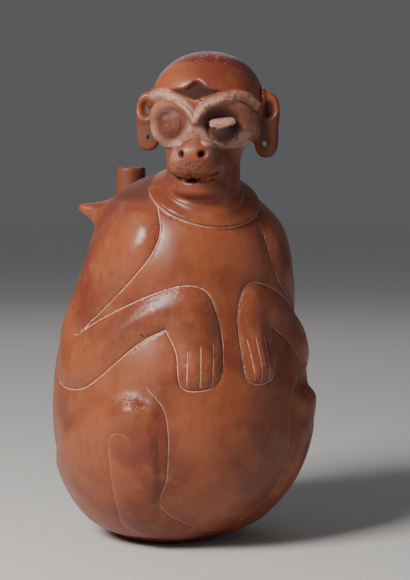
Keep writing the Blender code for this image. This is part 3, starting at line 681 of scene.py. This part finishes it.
class Carving:
    """Everything carved, raised, filled or stained on the smooth figure."""

    def __init__(self):
        self.arms, self.legs = make_limbs()
        self.drawn = []
        thighs, calves = self.legs[:2], self.legs[2:]
        for limbs, kind in ((self.arms, ARM_LINES), (thighs, LEG_LINES), (calves, CALF_LINES)):
            for limb in limbs:
                self.drawn += [(line, *kind) for line in limb.crisp_on_body]
        self.drawn += [(on_body(curve(line)), *FINGER_LINES) for line in RIGHT_FINGERS + LEFT_FINGERS]
        self.collar_line = self.draw_collar()
        self.mouth = from_face(face_line(MOUTH))
        self.creases = [from_face(face_line(line)) for line in CREASES]
        self.brows = [from_face(face_line(line)) for line in BROWS]
        edge = curve(list(zip(CAP_EDGE_DEGREES, CAP_EDGE_HEIGHTS)))
        self.cap_turns, self.cap_heights = edge.T

    def draw_collar(self):
        """The collar's lower edge, as a line on the body."""
        lean = radians(COLLAR_LEAN)
        turn = np.radians(np.arange(0, 361, COLLAR_TURN_STEP))[:, None]
        side, back = vec(1, 0, 0), vec(0, cos(lean), sin(lean))
        circle = vec(*COLLAR) + COLLAR_RADIUS * (np.cos(turn) * side + np.sin(turn) * back)
        return settle(circle, body, COLLAR_ROUNDS)

    def limbs(self, p):
        """Height of the arms, legs and knees."""
        across = np.degrees(np.arctan2(p[:, 0], -p[:, 1]))
        rise = np.max([limb.height(p, across) for limb in self.arms], 0)
        leg = np.max([limb.height(p, across) for limb in self.legs[:2]], 0)
        calf = np.max([limb.height(p, across) for limb in self.legs[2:]], 0)
        knee = 0
        for spot in KNEES:
            away = np.linalg.norm(p - on_body(np.array([spot], float))[0], axis=1)
            knee = knee + KNEE_RISE * bump(away, KNEE_SPREAD) * ease(leg, 0, LEG_RISE)
        return np.maximum(rise, leg + calf + knee)

    def height(self, p, normal):
        """Relief at each point, and the marks that the clay's colour follows."""
        on_torso = 1 - ease(body(p), *OFF_TORSO)
        rise = self.limbs(p)
        collar = self.collar(p)
        below_collar = 1 - ease(collar, *UNDER_COLLAR)
        rise = np.maximum(rise, collar)
        nearest = np.full(len(p), LINE_REACH)
        line_offset = np.full(len(p), LINE_REACH)
        fill = np.zeros(len(p))
        groove = np.zeros(len(p))
        for line, strength, depth in self.drawn:
            away, side = line_side(p, normal, line, LINE_REACH)
            within = 1 - ease(away - np.abs(side), *LINE_ENDS)
            groove = np.maximum(groove, depth * within * bump(away, GROOVE_HALF))
            nearer = away < nearest
            nearest = np.where(nearer, away, nearest)
            line_offset = np.where(nearer, side, line_offset)
            fill = np.where(nearer, strength * within * (1 - ease(away, *LINE_FADE)), fill)
        away, collar_offset = line_side(p, normal, self.collar_line, LINE_REACH)
        groove, fill = groove * below_collar, fill * below_collar
        groove = np.maximum(groove, COLLAR_GROOVE * bump(away, GROOVE_HALF))
        rise = (rise - GROOVE_DEPTH * groove) * on_torso
        face, marks = self.face(p)
        marks["line"] = line_offset
        marks["fill"] = fill * on_torso
        marks["collar"] = collar_offset
        marks["near_collar"] = (1 - ease(away, *LINE_FADE)) * on_torso
        return rise + face, marks

    def collar(self, p):
        lean = radians(COLLAR_LEAN)
        axis = vec(0, -sin(lean), cos(lean))
        offset = p - vec(*COLLAR)
        flat = np.linalg.norm(offset - (offset @ axis)[:, None] * axis, axis=1)
        within = 1 - ease(flat, COLLAR_RADIUS - COLLAR_STEP, COLLAR_RADIUS)
        return COLLAR_RISE * within * ease(p[:, 2], *COLLAR_FADE)

    def face(self, p):
        """Relief of the head, with its painted shade (in the openings too), pale deposits with painted
        highlight, speckles and crown.
        """
        q = to_face(p)
        x, z = q[:, 0], q[:, 2]
        on_head = ease(p[:, 2], *FACE_FADE)
        front = ease(q[:, 1], *FACE_FRONT) * on_head
        eyes, ridge, soot, pale = self.eyes(p, x, z)
        to_mouth = tube_distance(p, self.mouth, FACE_REACH)
        lip, notch = self.lips(x, z)
        pits = self.nostrils(q)
        crease = np.min([tube_distance(p, line, FACE_REACH) for line in self.creases], 0)
        cut = MOUTH_DEPTH * (1 - ease(to_mouth, 0, MOUTH_HALF))
        cut = cut + CREASE_DEPTH * bump(crease, CREASE_HALF) + NOSTRIL_DEPTH * pits
        cup = np.hypot((np.abs(x) - EAR_CUP[0]) / EAR_CUP_RADII[0], (z - EAR_CUP[1]) / EAR_CUP_RADII[1])
        ear_front = ease(np.abs(x), *EAR_SIDE) * ease(q[:, 1] - EAR[1], *EAR_FRONT) * on_head
        cupped = 1 - ease(cup, *EAR_CUP_EDGE)
        ear = ear_front * (EAR_RIM_RISE * bump(cup - EAR_RIM, EAR_RIM_WIDTH) - EAR_CUP_DEPTH * cupped)
        lobe = ease(np.abs(x), *LOBE_SIDE) * ease(-z, *LOBE_TOP) * on_head
        cap, gap = self.cap(q)
        mouth_shade = 1 - ease(to_mouth, *MOUTH_SHADE)
        speckle = bump(x - MOUTH_MIDDLE, SPECKLE_WIDTH) * ease(-z, *SPECKLE_TOP) * ease(z, *SPECKLE_FOOT)
        above_crown = z - CROWN[0] - CROWN[1] * x - CROWN[2] * q[:, 1]
        relief = ear + front * (eyes + ridge + lip - notch) - cut * on_head + cap
        marks = {
            # Painted shade in the sockets, eyes and ear cups; on the lobes partly their own darker clay,
            # partly painted shade
            "soot": np.clip(front * soot + CUP_SHADE * ear_front * cupped + LOBE_TONE_AND_SHADE * lobe, 0, 1),
            # Pale deposit, with painted highlight on the brows, the goggles' rims and the left lid
            "pale": np.clip(front * pale, 0, 1),
            # Painted shade in the nostrils, the mouth and the gap under the cap's peak
            "dark": np.clip(on_head * np.maximum(pits, mouth_shade) + GAP_SHADE * gap, 0, 1),
            "speckle": on_head * front * speckle,
            "crown": on_head * ease(above_crown, -CROWN_SOFT, CROWN_SOFT),
        }
        return relief, marks

    def eyes(self, p, x, z):
        """Relief of the sockets, eyes and brows, with their painted shade, and their pale deposits with
        painted highlight.
        """
        around = np.hypot(np.abs(x) - GOGGLE[0], (z - GOGGLE[1]) * GOGGLE_RADII[0] / GOGGLE_RADII[1])
        goggle = GOGGLE_RISE * (1 - ease(around, GOGGLE_RADII[0] - GOGGLE_STEP, GOGGLE_RADII[0]))
        bridge = (1 - ease(np.abs(x), *BRIDGE_SIDE)) * ease(-z, *BRIDGE_TOP)
        goggle = np.maximum(goggle, GOGGLE_RISE * (bridge * (1 - ease(-z, *BRIDGE_FOOT))))
        top = ease(z - GOGGLE[1], -SOCKET_RADIUS, SOCKET_TOP)
        bowl = ease(SOCKET_RADIUS - around, 0, SOCKET_SLOPE)
        socket = SOCKET_DEPTH * bowl * (SOCKET_LOW_SHARE + (1 - SOCKET_LOW_SHARE) * top)
        brow = np.min([tube_distance(p, line, BROW_HALF) for line in self.brows], 0)
        ridge = BROW_RISE * np.cos(brow / BROW_HALF * np.pi / 2)
        ball = np.hypot((x - EYE[0]) / EYE_RADII[0], (z - EYE[1]) / EYE_RADII[1])
        ring = EYE_RING * bump(ball - EYE_RING_SIZE, EYE_RING_WIDTH)
        whole_eye = EYE_RISE * np.sqrt(np.clip(1 - ball ** 2, 0, 1)) - ring
        lid, above = self.lid(x, z)
        left = (goggle - socket) + whole_eye
        slant = LID_SLANT * ease(above, -0.5 * LID_HALF[1], LID_HALF[1])
        left = left + lid * (LID_RISE - slant - left)
        relief = np.where(x > 0, left, self.worn_eye(goggle, socket, x, z))
        is_left = x > 0
        # Painted shade: in the ring round the left eyeball, on the ball under its lid, and in the
        # sockets, darkest under the brows
        rim_shade = RING_SHADE * bump(ball - EYE_RING_SIZE, RING_SHADE_WIDTH) * is_left * (1 - lid)
        ball_shade = BALL_SHADE * is_left * (ball < 1) * (1 - lid)
        deep = SOCKET_SHADE_LOW + (1 - SOCKET_SHADE_LOW) * top
        soot = SOCKET_SHADE * bowl * deep * (1 - lid) + rim_shade + ball_shade
        # Painted highlight on the brows, the goggles' lower rims and the left lid, mixed with pale
        # deposit on the brows, rims and nose
        brow_deposit_and_highlight = BROW_DEPOSIT_AND_HIGHLIGHT * (1 - brow / BROW_HALF) ** BROW_FADE
        low_rim = RIM_TOP_SHARE + (1 - RIM_TOP_SHARE) * ease(-z, *RIM_LOW)
        rim_deposit_and_highlight = RIM_DEPOSIT_AND_HIGHLIGHT * (1 - bowl) * (1 - ease(around, *RIM_SPAN)) * low_rim
        pale = np.maximum(np.maximum(brow_deposit_and_highlight, rim_deposit_and_highlight), self.nose_pale(x, z))
        return relief, ridge, soot, np.maximum(pale, LID_HIGHLIGHT * lid * is_left)

    def lid(self, x, z):
        """1 on the left eye's lid, and the height above the lid's middle line."""
        turn = radians(LID_TILT)
        along = (x - LID[0]) * cos(turn) + (z - LID[1]) * sin(turn)
        above = (z - LID[1]) * cos(turn) - (x - LID[0]) * sin(turn)
        size = np.abs(along / LID_HALF[0]) ** 4 + np.abs(above / LID_HALF[1]) ** 4
        return 1 - ease(size, *LID_EDGE), above

    def worn_eye(self, goggle, socket, x, z):
        """Relief of the right eye: a low mound with rings and a lump."""
        worn = np.hypot(x - WORN_EYE[0], z - WORN_EYE[1])
        middle = WORN_EYE[0] - WORN_EYE[1]
        low_side = ease(x - z, middle + RING_SIDE[0], middle + RING_SIDE[1])
        rings = RING_RISE * np.cos(2 * np.pi * worn / RING_STEP) * (1 - ease(worn, *RING_ENDS)) * low_side
        lump = LUMP_RISE * bump(np.hypot(x - WORN_LUMP[0], z - WORN_LUMP[1]), LUMP_WIDTH)
        mound = WORN_RISE * np.clip(1 - (worn / WORN_RADIUS) ** 2, 0, 1)
        return goggle - WORN_SOCKET * socket + mound + rings + lump

    def nose_pale(self, x, z):
        """The pale deposits on the bridge and the sides of the nose."""
        share, across, height, width, length = BRIDGE_PALE
        bridge = share * bump(x - across, width) * bump(z - height, length)
        sides = 0
        for share, across, height, squash, width in NOSE_PALE:
            sides = sides + share * bump(np.hypot(x - across, (z - height) * squash), width)
        return np.maximum(bridge, sides)

    def lips(self, x, z):
        """Height of the lips, and depth of the notch in the upper one."""
        mouth_line = np.interp(x, [m[0] for m in MOUTH], [m[1] for m in MOUTH])
        in_mouth = 1 - ease(np.abs(x - MOUTH_MIDDLE), *MOUTH_ENDS)
        lower = LOWER_LIP[0] * bump(mouth_line - LOWER_LIP[1] - z, LOWER_LIP[2])
        upper = UPPER_LIP[0] * bump(z - mouth_line - UPPER_LIP[1], UPPER_LIP[2])
        notch = NOTCH[0] * bump(x - MOUTH_MIDDLE, NOTCH[1]) * bump(z - mouth_line - NOTCH[2], NOTCH[3])
        return (lower + upper) * in_mouth, notch

    def nostrils(self, q):
        """1 in the nostrils, on the front of the nose."""
        pits = np.zeros(len(q))
        for side, low, half_width, half_height in NOSTRILS:
            hole = np.hypot((q[:, 0] - side) / half_width, (q[:, 2] - low) / half_height)
            pits = np.maximum(pits, 1 - ease(hole, *NOSTRIL_EDGE))
        return pits * ease(q[:, 1], *NOSTRIL_FRONT)

    def cap(self, q):
        """The raised cap of hair, and the gap under its peak, which is darkened with painted shade."""
        turn = np.degrees(np.arctan2(q[:, 0], q[:, 1])) - CAP_PEAK_DEGREES
        edge = np.interp(turn, self.cap_turns, self.cap_heights)
        on_skull = 1 - ease(skull(q), *OFF_SKULL)
        above_brow = q[:, 2] - GAP_LOW - GAP_SPREAD * np.abs(q[:, 0])
        near_peak = 1 - ease(np.abs(turn), *GAP_ENDS)
        # The gap also takes painted shade
        gap = ease(edge - q[:, 2], *GAP_TOP) * ease(above_brow, *GAP_FOOT) * near_peak
        return (CAP_RISE * ease(q[:, 2] - edge, *CAP_STEP) - GAP_DEPTH * gap) * on_skull, gap * on_skull


def block_out():
    """Rough overlapping solids that cover the whole figure."""
    upper_belly = (BELLY[0], BELLY[1], BELLY[2] + BLOCK_LIFT)
    upper_radii = vec(*BELLY_RADII) - vec(BLOCK_TUCK, BLOCK_TUCK, BLOCK_LIFT)
    blocks = [
        (BELLY, (*BELLY_RADII[:2], BELLY_DROP)),
        (upper_belly, upper_radii),
        (SHOULDERS, SHOULDER_RADII),
    ]
    mesh = bpy.data.meshes.new("block_out")
    form = bmesh.new()

    def ball(centre, radii, turn=Matrix.Identity(4), swell=0):
        place = Matrix.Translation(centre) @ turn @ Matrix.Diagonal((*(vec(*radii) + swell), 1))
        bmesh.ops.create_uvsphere(form, u_segments=48, v_segments=32, radius=1, matrix=place)

    def rod(root, tip, root_radius, tip_radius):
        span = Vector(tip) - Vector(root)
        turn = span.to_track_quat("Z", "Y").to_matrix().to_4x4()
        place = Matrix.Translation((Vector(tip) + Vector(root)) / 2) @ turn
        bmesh.ops.create_cone(form, cap_ends=True, segments=32, radius1=root_radius,
                              radius2=tip_radius, depth=span.length, matrix=place)

    for centre, radii in blocks:
        ball(centre, radii)
    turn = Matrix.Rotation(radians(HEAD_TURN), 4, "Z") @ Matrix.Scale(-1, 4, (0, 1, 0))
    head_parts = [
        (SKULL, SKULL_RADII),
        (MASK, MASK_RADII),
        (MUZZLE, MUZZLE_RADII),
        (CHIN, CHIN_RADII),
        (NOSE, NOSE_RADII),
    ]
    for side in (-1, 1):
        head_parts.append(((side * EAR[0], EAR[1], EAR[2]), EAR_RADII))
    head_parts.extend(zip(LOBES, LOBE_RADII))
    for centre, radii in head_parts:
        ball(from_face(vec(*centre)), radii, turn, SWELL)
    rod((HEAD[0], HEAD[1], HEAD[2] + NECK_SPAN[0]), HEAD, NECK_RADIUS, NECK_RADIUS)
    spout_radius = SPOUT_DIAMETER / UNIT / 2
    rod((*SPOUT, SPOUT_FOOT), (*SPOUT, SPOUT_TOP), spout_radius, spout_radius)
    rod(LUG_ROOT, LUG_TIP, LUG_ROOT_RADIUS, LUG_TIP_DIAMETER / UNIT / 2)
    bmesh.ops.recalc_face_normals(form, faces=form.faces)
    form.to_mesh(mesh)
    form.free()
    return mesh


def evaluated(obj):
    """The object's mesh with its modifiers applied, as a new mesh."""
    bpy.context.view_layer.update()
    view = bpy.context.evaluated_depsgraph_get()
    return bpy.data.meshes.new_from_object(obj.evaluated_get(view), depsgraph=view)


def vertices(mesh):
    found = np.empty(len(mesh.vertices) * 3, np.float32)
    mesh.vertices.foreach_get("co", found)
    return found.reshape(-1, 3).astype(float)


def set_vertices(mesh, points):
    mesh.vertices.foreach_set("co", points.astype(np.float32).ravel())
    mesh.update()


def slope(field, p, step=0.05):
    """The field's value and gradient at each point."""
    value = field(p)
    parts = [(field(p + step * axis) - value) / step for axis in np.eye(3)]
    return value, np.stack(parts, -1)


def settle(p, field, rounds):
    """Move points onto the surface where the field is zero."""
    for _ in range(rounds):
        value, gradient = slope(field, p)
        size = np.maximum((gradient ** 2).sum(1), 0.2)
        p = p - np.clip(value / size, -3, 3)[:, None] * gradient
    return p


def link(name, data):
    obj = bpy.data.objects.new(name, data)
    bpy.context.scene.collection.objects.link(obj)
    return obj


def surface(mesh):
    """Settle the outside of the mesh; give its points, their normals and which points are outside."""
    p = vertices(mesh)
    outside = (np.abs(whole_figure(p)) < OUTSIDE_GAP) & (p[:, 2] > OUTSIDE_GAP)
    normal = np.zeros_like(p)
    q = settle(p[outside], whole_figure, LAST_ROUNDS)
    _, gradient = slope(whole_figure, q)
    p[outside] = q
    normal[outside] = gradient / np.maximum(np.linalg.norm(gradient, axis=1), 1e-6)[:, None]
    return p, normal, outside


def refine(mesh, carving):
    """Split edges that are long for their place, or that a step in the relief crosses."""
    for _ in range(REFINE_ROUNDS):
        p, normal, outside = surface(mesh)
        set_vertices(mesh, p)
        height, _ = carving.height(p, normal)
        target = np.where(p[:, 2] > HEAD_LOW, HEAD_EDGE, BODY_EDGE)
        form = bmesh.new()
        form.from_mesh(mesh)
        form.edges.ensure_lookup_table()
        ends = np.empty(2 * len(mesh.edges), np.int32)
        mesh.edges.foreach_get("vertices", ends)
        start, end = ends.reshape(-1, 2).T
        span = np.linalg.norm(p[start] - p[end], axis=1)
        step = np.abs(height[start] - height[end])
        wanted = (span > LONG_EDGE * target[start]) | ((step > STEP_LIMIT) & (span > LINE_EDGE))
        long = np.where(wanted & outside[start] & outside[end])[0]
        if len(long) == 0:
            form.free()
            return
        bmesh.ops.subdivide_edges(form, edges=[form.edges[i] for i in long], cuts=1)
        bmesh.ops.triangulate(form, faces=form.faces)
        form.to_mesh(mesh)
        form.free()


def store(mesh, name, values):
    layer = mesh.attributes.new(name, "FLOAT", "POINT")
    layer.data.foreach_set("value", values.astype(np.float32))


def hollow(p):
    """Distance field of the space inside the clay."""
    wall = WALL / UNIT
    q = to_face(p)
    inner_skull = blob(q, SKULL, vec(*SKULL_RADII) - wall, SKULL_POWER)
    inner_neck = neck(q, NECK_RADIUS - wall, *CAVITY_NECK_SPAN)
    inner_head = fuse(inner_skull, inner_neck, CAVITY_NECK_BLEND)
    field = fuse(body(p) + wall, inner_head, CAVITY_HEAD_BLEND)
    return np.maximum(field, BASE_WALL / UNIT - p[:, 2])


def make_cavity():
    """The hollow, as a stack of rings from the base up into the head."""
    in_body = np.linspace(BASE_WALL / UNIT + CAVITY_GAP, CAVITY_BODY_TOP, CAVITY_BODY_RINGS)
    in_head = np.linspace(CAVITY_HEAD_LOW, CAVITY_TOP, CAVITY_HEAD_RINGS)
    turns = np.arange(CAVITY_SIDES) * 2 * np.pi / CAVITY_SIDES
    form = bmesh.new()
    rings = []
    spokes = np.stack([np.sin(turns), np.cos(turns), 0 * turns], -1)
    for height in np.concatenate([in_body, in_head]):
        axis = vec(0, np.interp(height, CAVITY_AXIS_HEIGHTS, CAVITY_AXIS_BACK), height)
        near = np.zeros(CAVITY_SIDES)
        far = np.full(CAVITY_SIDES, 130.0)
        for _ in range(SEARCH_ROUNDS):
            reach = (near + far) / 2
            inside = hollow(axis + reach[:, None] * spokes) < 0
            near = np.where(inside, reach, near)
            far = np.where(inside, far, reach)
        points = axis + near[:, None] * spokes
        rings.append([form.verts.new(Vector(point) * UNIT) for point in points])
    for low, high in zip(rings, rings[1:]):
        for i in range(CAVITY_SIDES):
            j = (i + 1) % CAVITY_SIDES
            form.faces.new((low[i], low[j], high[j], high[i]))
    form.faces.new(rings[0])
    form.faces.new(rings[-1])
    bmesh.ops.recalc_face_normals(form, faces=form.faces)
    mesh = bpy.data.meshes.new("cavity")
    form.to_mesh(mesh)
    form.free()
    return link("cavity", mesh)


def cylinder_cutter(name, start, end, diameter, segments):
    span = Vector(end) - Vector(start)
    form = bmesh.new()
    turn = span.to_track_quat("Z", "Y").to_matrix().to_4x4()
    place = Matrix.Translation((Vector(start) + Vector(end)) / 2) @ turn
    bmesh.ops.create_cone(form, cap_ends=True, segments=segments, radius1=diameter / 2,
                          radius2=diameter / 2, depth=span.length, matrix=place)
    mesh = bpy.data.meshes.new(name)
    form.to_mesh(mesh)
    form.free()
    return link(name, mesh)


def make_cutters():
    """The cavity, the spout's bore, the ear holes and the flat under the base."""
    cutters = [make_cavity()]
    x, y = SPOUT[0] * UNIT, SPOUT[1] * UNIT
    bottom = (x, y, (SPOUT_FOOT - BORE_SUNK) * UNIT)
    rim = (x, y, SPOUT_TOP * UNIT)
    top = (x, y, (SPOUT_TOP + CUT_PAST_RIM) * UNIT)
    cutters.append(cylinder_cutter("spout_bore", bottom, top, SPOUT_BORE, 32))
    cutters.append(cylinder_cutter("rim_flat", rim, top, 2 * SPOUT_DIAMETER, 32))
    for name, (across, height) in LOBE_HOLES.items():
        back = Vector(from_face(vec(across, LOBES[0][1] - CUT_PAST_EAR, height))) * UNIT
        front = Vector(from_face(vec(across, LOBES[0][1] + CUT_PAST_EAR, height))) * UNIT
        cutters.append(cylinder_cutter(name, back, front, LOBE_HOLE, 12))
    form = bmesh.new()
    under = CUT_UNDER_BASE * UNIT
    place = Matrix.Translation((0, 0, -under)) @ Matrix.Diagonal((4 * under, 4 * under, 2 * under, 1))
    bmesh.ops.create_cube(form, size=1, matrix=place)
    mesh = bpy.data.meshes.new("base_flat")
    form.to_mesh(mesh)
    form.free()
    cutters.append(link("base_flat", mesh))
    return cutters


def node(tree, kind, settings=None, **inputs):
    """Add a shader node; an input is a value or another node's socket."""
    made = tree.nodes.new(kind)
    for name, value in (settings or {}).items():
        setattr(made, name, value)
    for name, value in inputs.items():
        by_number = name[0] == "n" and name[1:].isdigit()
        socket = made.inputs[int(name[1:]) if by_number else name.replace("_", " ")]
        if isinstance(value, bpy.types.NodeSocket):
            tree.links.new(value, socket)
        else:
            socket.default_value = value
    return made


class Shade:
    """Short names for the node arithmetic that the clay needs."""

    def __init__(self, tree):
        self.tree = tree
        self.place = node(tree, "ShaderNodeTexCoord").outputs["Object"]

    def attribute(self, name):
        return node(self.tree, "ShaderNodeAttribute", {"attribute_name": name}).outputs["Fac"]

    def math(self, operation, a, b=0.0):
        return node(self.tree, "ShaderNodeMath", {"operation": operation}, n0=a, n1=b).outputs[0]

    def plus(self, a, b):
        return self.math("ADD", a, b)

    def minus(self, a, b):
        return self.math("SUBTRACT", a, b)

    def times(self, a, b):
        return self.math("MULTIPLY", a, b)

    def noise(self, name):
        scale, detail, stretch, shift, rough = NOISES[name]
        place = node(self.tree, "ShaderNodeMapping", None, Vector=self.place, Scale=stretch,
                     Location=(shift, shift, shift)).outputs[0]
        return node(self.tree, "ShaderNodeTexNoise", None, Vector=place, Scale=scale, Detail=detail,
                    Roughness=rough).outputs["Fac"]

    def band(self, value, low, high):
        """0 under low, 1 over high, smooth between."""
        made = node(self.tree, "ShaderNodeMapRange", {"interpolation_type": "SMOOTHSTEP"},
                    Value=value, From_Min=low, From_Max=high)
        return made.outputs[0]

    def blend(self, share, first, second, kind="MIX"):
        made = node(self.tree, "ShaderNodeMix", {"data_type": "RGBA", "blend_type": kind}, n0=share)
        for socket, value in ((made.inputs[6], first), (made.inputs[7], second)):
            if isinstance(value, bpy.types.NodeSocket):
                self.tree.links.new(value, socket)
            else:
                socket.default_value = value
        return made.outputs[2]


def clay_material():
    """Burnished clay: mottled slip, strokes, specks, pale filled lines, painted shade, and pale deposits
    with painted highlight.
    """
    material = bpy.data.materials.new("burnished_clay")
    material.use_nodes = True
    tree = material.node_tree
    shader = tree.nodes["Principled BSDF"]
    s = Shade(tree)
    clouds = s.noise("clouds")
    patches = s.noise("patches")
    strokes = s.noise("strokes")
    fine = s.noise("fine")
    color = s.blend(s.band(clouds, *CLOUD_BAND), RED_CLAY, ORANGE_CLAY)
    color = s.blend(s.times(s.band(patches, *OCHRE_BAND), OCHRE_SHARE), color, OCHRE_CLAY)
    color = s.blend(s.times(s.band(strokes, *BROWN_BAND), BROWN_SHARE), color, BROWN_CLAY)
    crown_edge = s.plus(s.attribute("crown"), s.times(s.minus(patches, 0.5), CROWN_WAVER))
    crown = s.band(crown_edge, *CROWN_BAND)
    flecks = s.band(s.noise("flecks"), *FLECK_BAND)
    crown_color = s.blend(flecks, CROWN_RED, CROWN_FLECK)
    color = s.blend(crown, color, crown_color)
    specks = s.band(s.noise("specks"), *SPECK_BAND)
    color = s.blend(s.times(specks, SPECK_SHARE), color, DARK_SPECK_AND_SHADE)
    # Painted shade in the sockets, eyes, ear cups and lobes, made patchy
    uneven = s.plus(s.times(s.band(patches, *SHADE_PATCH_BAND), 1 - SHADE_PATCH_LEAST), SHADE_PATCH_LEAST)
    color = s.blend(s.times(s.attribute("soot"), uneven), color, DARK_SPECK_AND_SHADE)
    lip_specks = s.band(s.noise("lip specks"), *LIP_BAND)
    color = s.blend(s.times(s.attribute("speckle"), s.times(lip_specks, LIP_SHARE)), color, DARK_SPECK_AND_SHADE)
    # Pale deposit, and painted highlight on the brows, rims and lid, in scattered spots
    scatter = s.band(s.noise("scatter"), *SCATTER_BAND)
    scattered_deposit_and_highlight = s.times(s.attribute("pale"), scatter)
    color = s.blend(s.times(scattered_deposit_and_highlight, DEPOSIT_AND_HIGHLIGHT_SHARE), color, PALE_DEPOSIT_AND_HIGHLIGHT)
    # Painted shade, matte, in the nostrils, the mouth and the gap under the cap's peak
    color = s.blend(s.attribute("dark"), color, DARK_SPECK_AND_SHADE)
    worn = s.plus(s.times(s.band(s.noise("wear"), *WEAR_BAND), 1 - FILL_LEAST), FILL_LEAST)
    away = s.math("ABSOLUTE", s.attribute("line"))
    core = s.minus(1.0, s.band(away, *CORE_BAND))
    fill = s.times(s.times(s.attribute("fill"), core), worn)
    collar = s.minus(1.0, s.band(s.math("ABSOLUTE", s.attribute("collar")), *COLLAR_BAND))
    collar = s.times(collar, s.attribute("near_collar"))
    fill = s.math("MAXIMUM", fill, s.times(collar, s.times(worn, COLLAR_SHARE)))
    color = s.blend(fill, color, PALE_FILL)
    tree.links.new(color, shader.inputs["Base Color"])
    rough = s.plus(s.times(patches, PATCH_ROUGH), LEAST_ROUGH)
    # Rougher on the pale fill, the painted shade and the pale marks
    shade_and_pale_marks = s.plus(s.attribute("soot"), s.times(s.attribute("pale"), PALE_ROUGH_SHARE))
    rough = s.plus(rough, s.times(s.math("MAXIMUM", fill, shade_and_pale_marks), MARKED_ROUGH))
    tree.links.new(s.plus(rough, s.attribute("dark")), shader.inputs["Roughness"])
    shader.inputs["Specular IOR Level"].default_value = CLAY_SPECULAR
    height = s.plus(s.times(strokes, STROKE_BUMP), s.times(fine, FINE_BUMP))
    relief = node(tree, "ShaderNodeBump", None, Height=height, Strength=BUMP_STRENGTH,
                  Distance=BUMP_DISTANCE)
    tree.links.new(relief.outputs[0], shader.inputs["Normal"])
    return material


def floor_material():
    """A plain pale floor that takes the studio's own shade far from the figure."""
    material = bpy.data.materials.new("floor")
    material.use_nodes = True
    tree = material.node_tree
    shader = tree.nodes["Principled BSDF"]
    shader.inputs["Base Color"].default_value = FLOOR_COLOR
    shader.inputs["Roughness"].default_value = FLOOR_ROUGHNESS
    shader.inputs["Specular IOR Level"].default_value = FLOOR_SPECULAR
    s = Shade(tree)
    away = node(tree, "ShaderNodeVectorMath", {"operation": "LENGTH"}, n0=s.place).outputs["Value"]
    glow = node(tree, "ShaderNodeEmission", None, Color=WORLD_COLOR, Strength=WORLD_STRENGTH)
    mixed = node(tree, "ShaderNodeMixShader", None, n0=s.band(away, *FLOOR_FADE), n1=shader.outputs[0],
                 n2=glow.outputs[0])
    tree.links.new(mixed.outputs[0], tree.nodes["Material Output"].inputs["Surface"])
    return material


def set_camera():
    """The camera of the photograph: a long lens, a little above the middle of the figure."""
    turn, rise = radians(CAMERA_TURN), radians(CAMERA_RISE)
    away = Vector((sin(turn) * cos(rise), -cos(turn) * cos(rise), sin(rise)))
    camera = bpy.data.cameras.new("camera")
    camera.sensor_fit = "VERTICAL"
    camera.sensor_height = SENSOR
    camera.lens = SENSOR * CAMERA_AWAY / (PICTURE[1] * PIXEL)
    camera.shift_x = (PICTURE[0] / 2 - TARGET_PIXEL[0]) / PICTURE[1]
    camera.shift_y = (TARGET_PIXEL[1] - PICTURE[1] / 2) / PICTURE[1]
    stand = link("camera", camera)
    stand.location = Vector(CAMERA_TARGET) + away * CAMERA_AWAY
    stand.rotation_euler = away.to_track_quat("Z", "Y").to_euler()
    bpy.context.scene.camera = stand


def add_light(name, place, size, power, color):
    light = bpy.data.lights.new(name, "AREA")
    light.shape = "RECTANGLE"
    light.size, light.size_y = size
    light.energy = power
    light.color = color
    lamp = link(name, light)
    lamp.location = place
    aim = Vector(place) - Vector(CAMERA_TARGET)
    lamp.rotation_euler = aim.to_track_quat("Z", "Y").to_euler()


def set_stage():
    floor = bpy.data.meshes.new("floor")
    half = FLOOR_HALF
    corners = [(-half, -half, 0), (half, -half, 0), (half, half, 0), (-half, half, 0)]
    floor.from_pydata(corners, [], [(0, 1, 2, 3)])
    floor.materials.append(floor_material())
    link("floor", floor)
    world = bpy.data.worlds.new("studio")
    bpy.context.scene.world = world
    world.use_nodes = True
    background = world.node_tree.nodes["Background"]
    background.inputs["Color"].default_value = WORLD_COLOR
    background.inputs["Strength"].default_value = WORLD_STRENGTH
    for light in LIGHTS:
        add_light(*light)


def make_figure():
    """The vessel, hollowed and bored, then carved on a fine mesh."""
    rough = link("rough_figure", block_out())
    remesh = rough.modifiers.new("one skin", "REMESH")
    remesh.mode = "VOXEL"
    remesh.voxel_size = BLOCK_CELL
    mesh = evaluated(rough)
    rough.modifiers.clear()
    set_vertices(mesh, settle(vertices(mesh), whole_figure, SETTLE_ROUNDS))
    mesh.transform(Matrix.Scale(UNIT, 4))
    rough.data = mesh
    tools = make_cutters()
    for cutter in tools:
        cut = rough.modifiers.new(cutter.name, "BOOLEAN")
        cut.operation = "DIFFERENCE"
        cut.solver = "EXACT"
        cut.object = cutter
    mesh = evaluated(rough)
    for made in tools + [rough]:
        bpy.data.objects.remove(made)
    mesh.transform(Matrix.Scale(1 / UNIT, 4))
    carving = Carving()
    refine(mesh, carving)
    p, normal, outside = surface(mesh)
    height, marks = carving.height(p, normal)
    set_vertices(mesh, p + (height * outside)[:, None] * normal)
    for name, values in marks.items():
        store(mesh, name, values * outside)
    mesh.transform(Matrix.Scale(UNIT, 4))
    return link("monkey_vessel", mesh)


def main():
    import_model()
    figure = make_figure()
    mesh = figure.data
    mesh.materials.clear()
    mesh.materials.append(clay_material())
    mesh.shade_smooth()
    mesh.set_sharp_from_angle(angle=radians(SHARP_DEGREES))
    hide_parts("vessel")
    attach(figure, "root")
    set_stage()
    set_camera()


main()
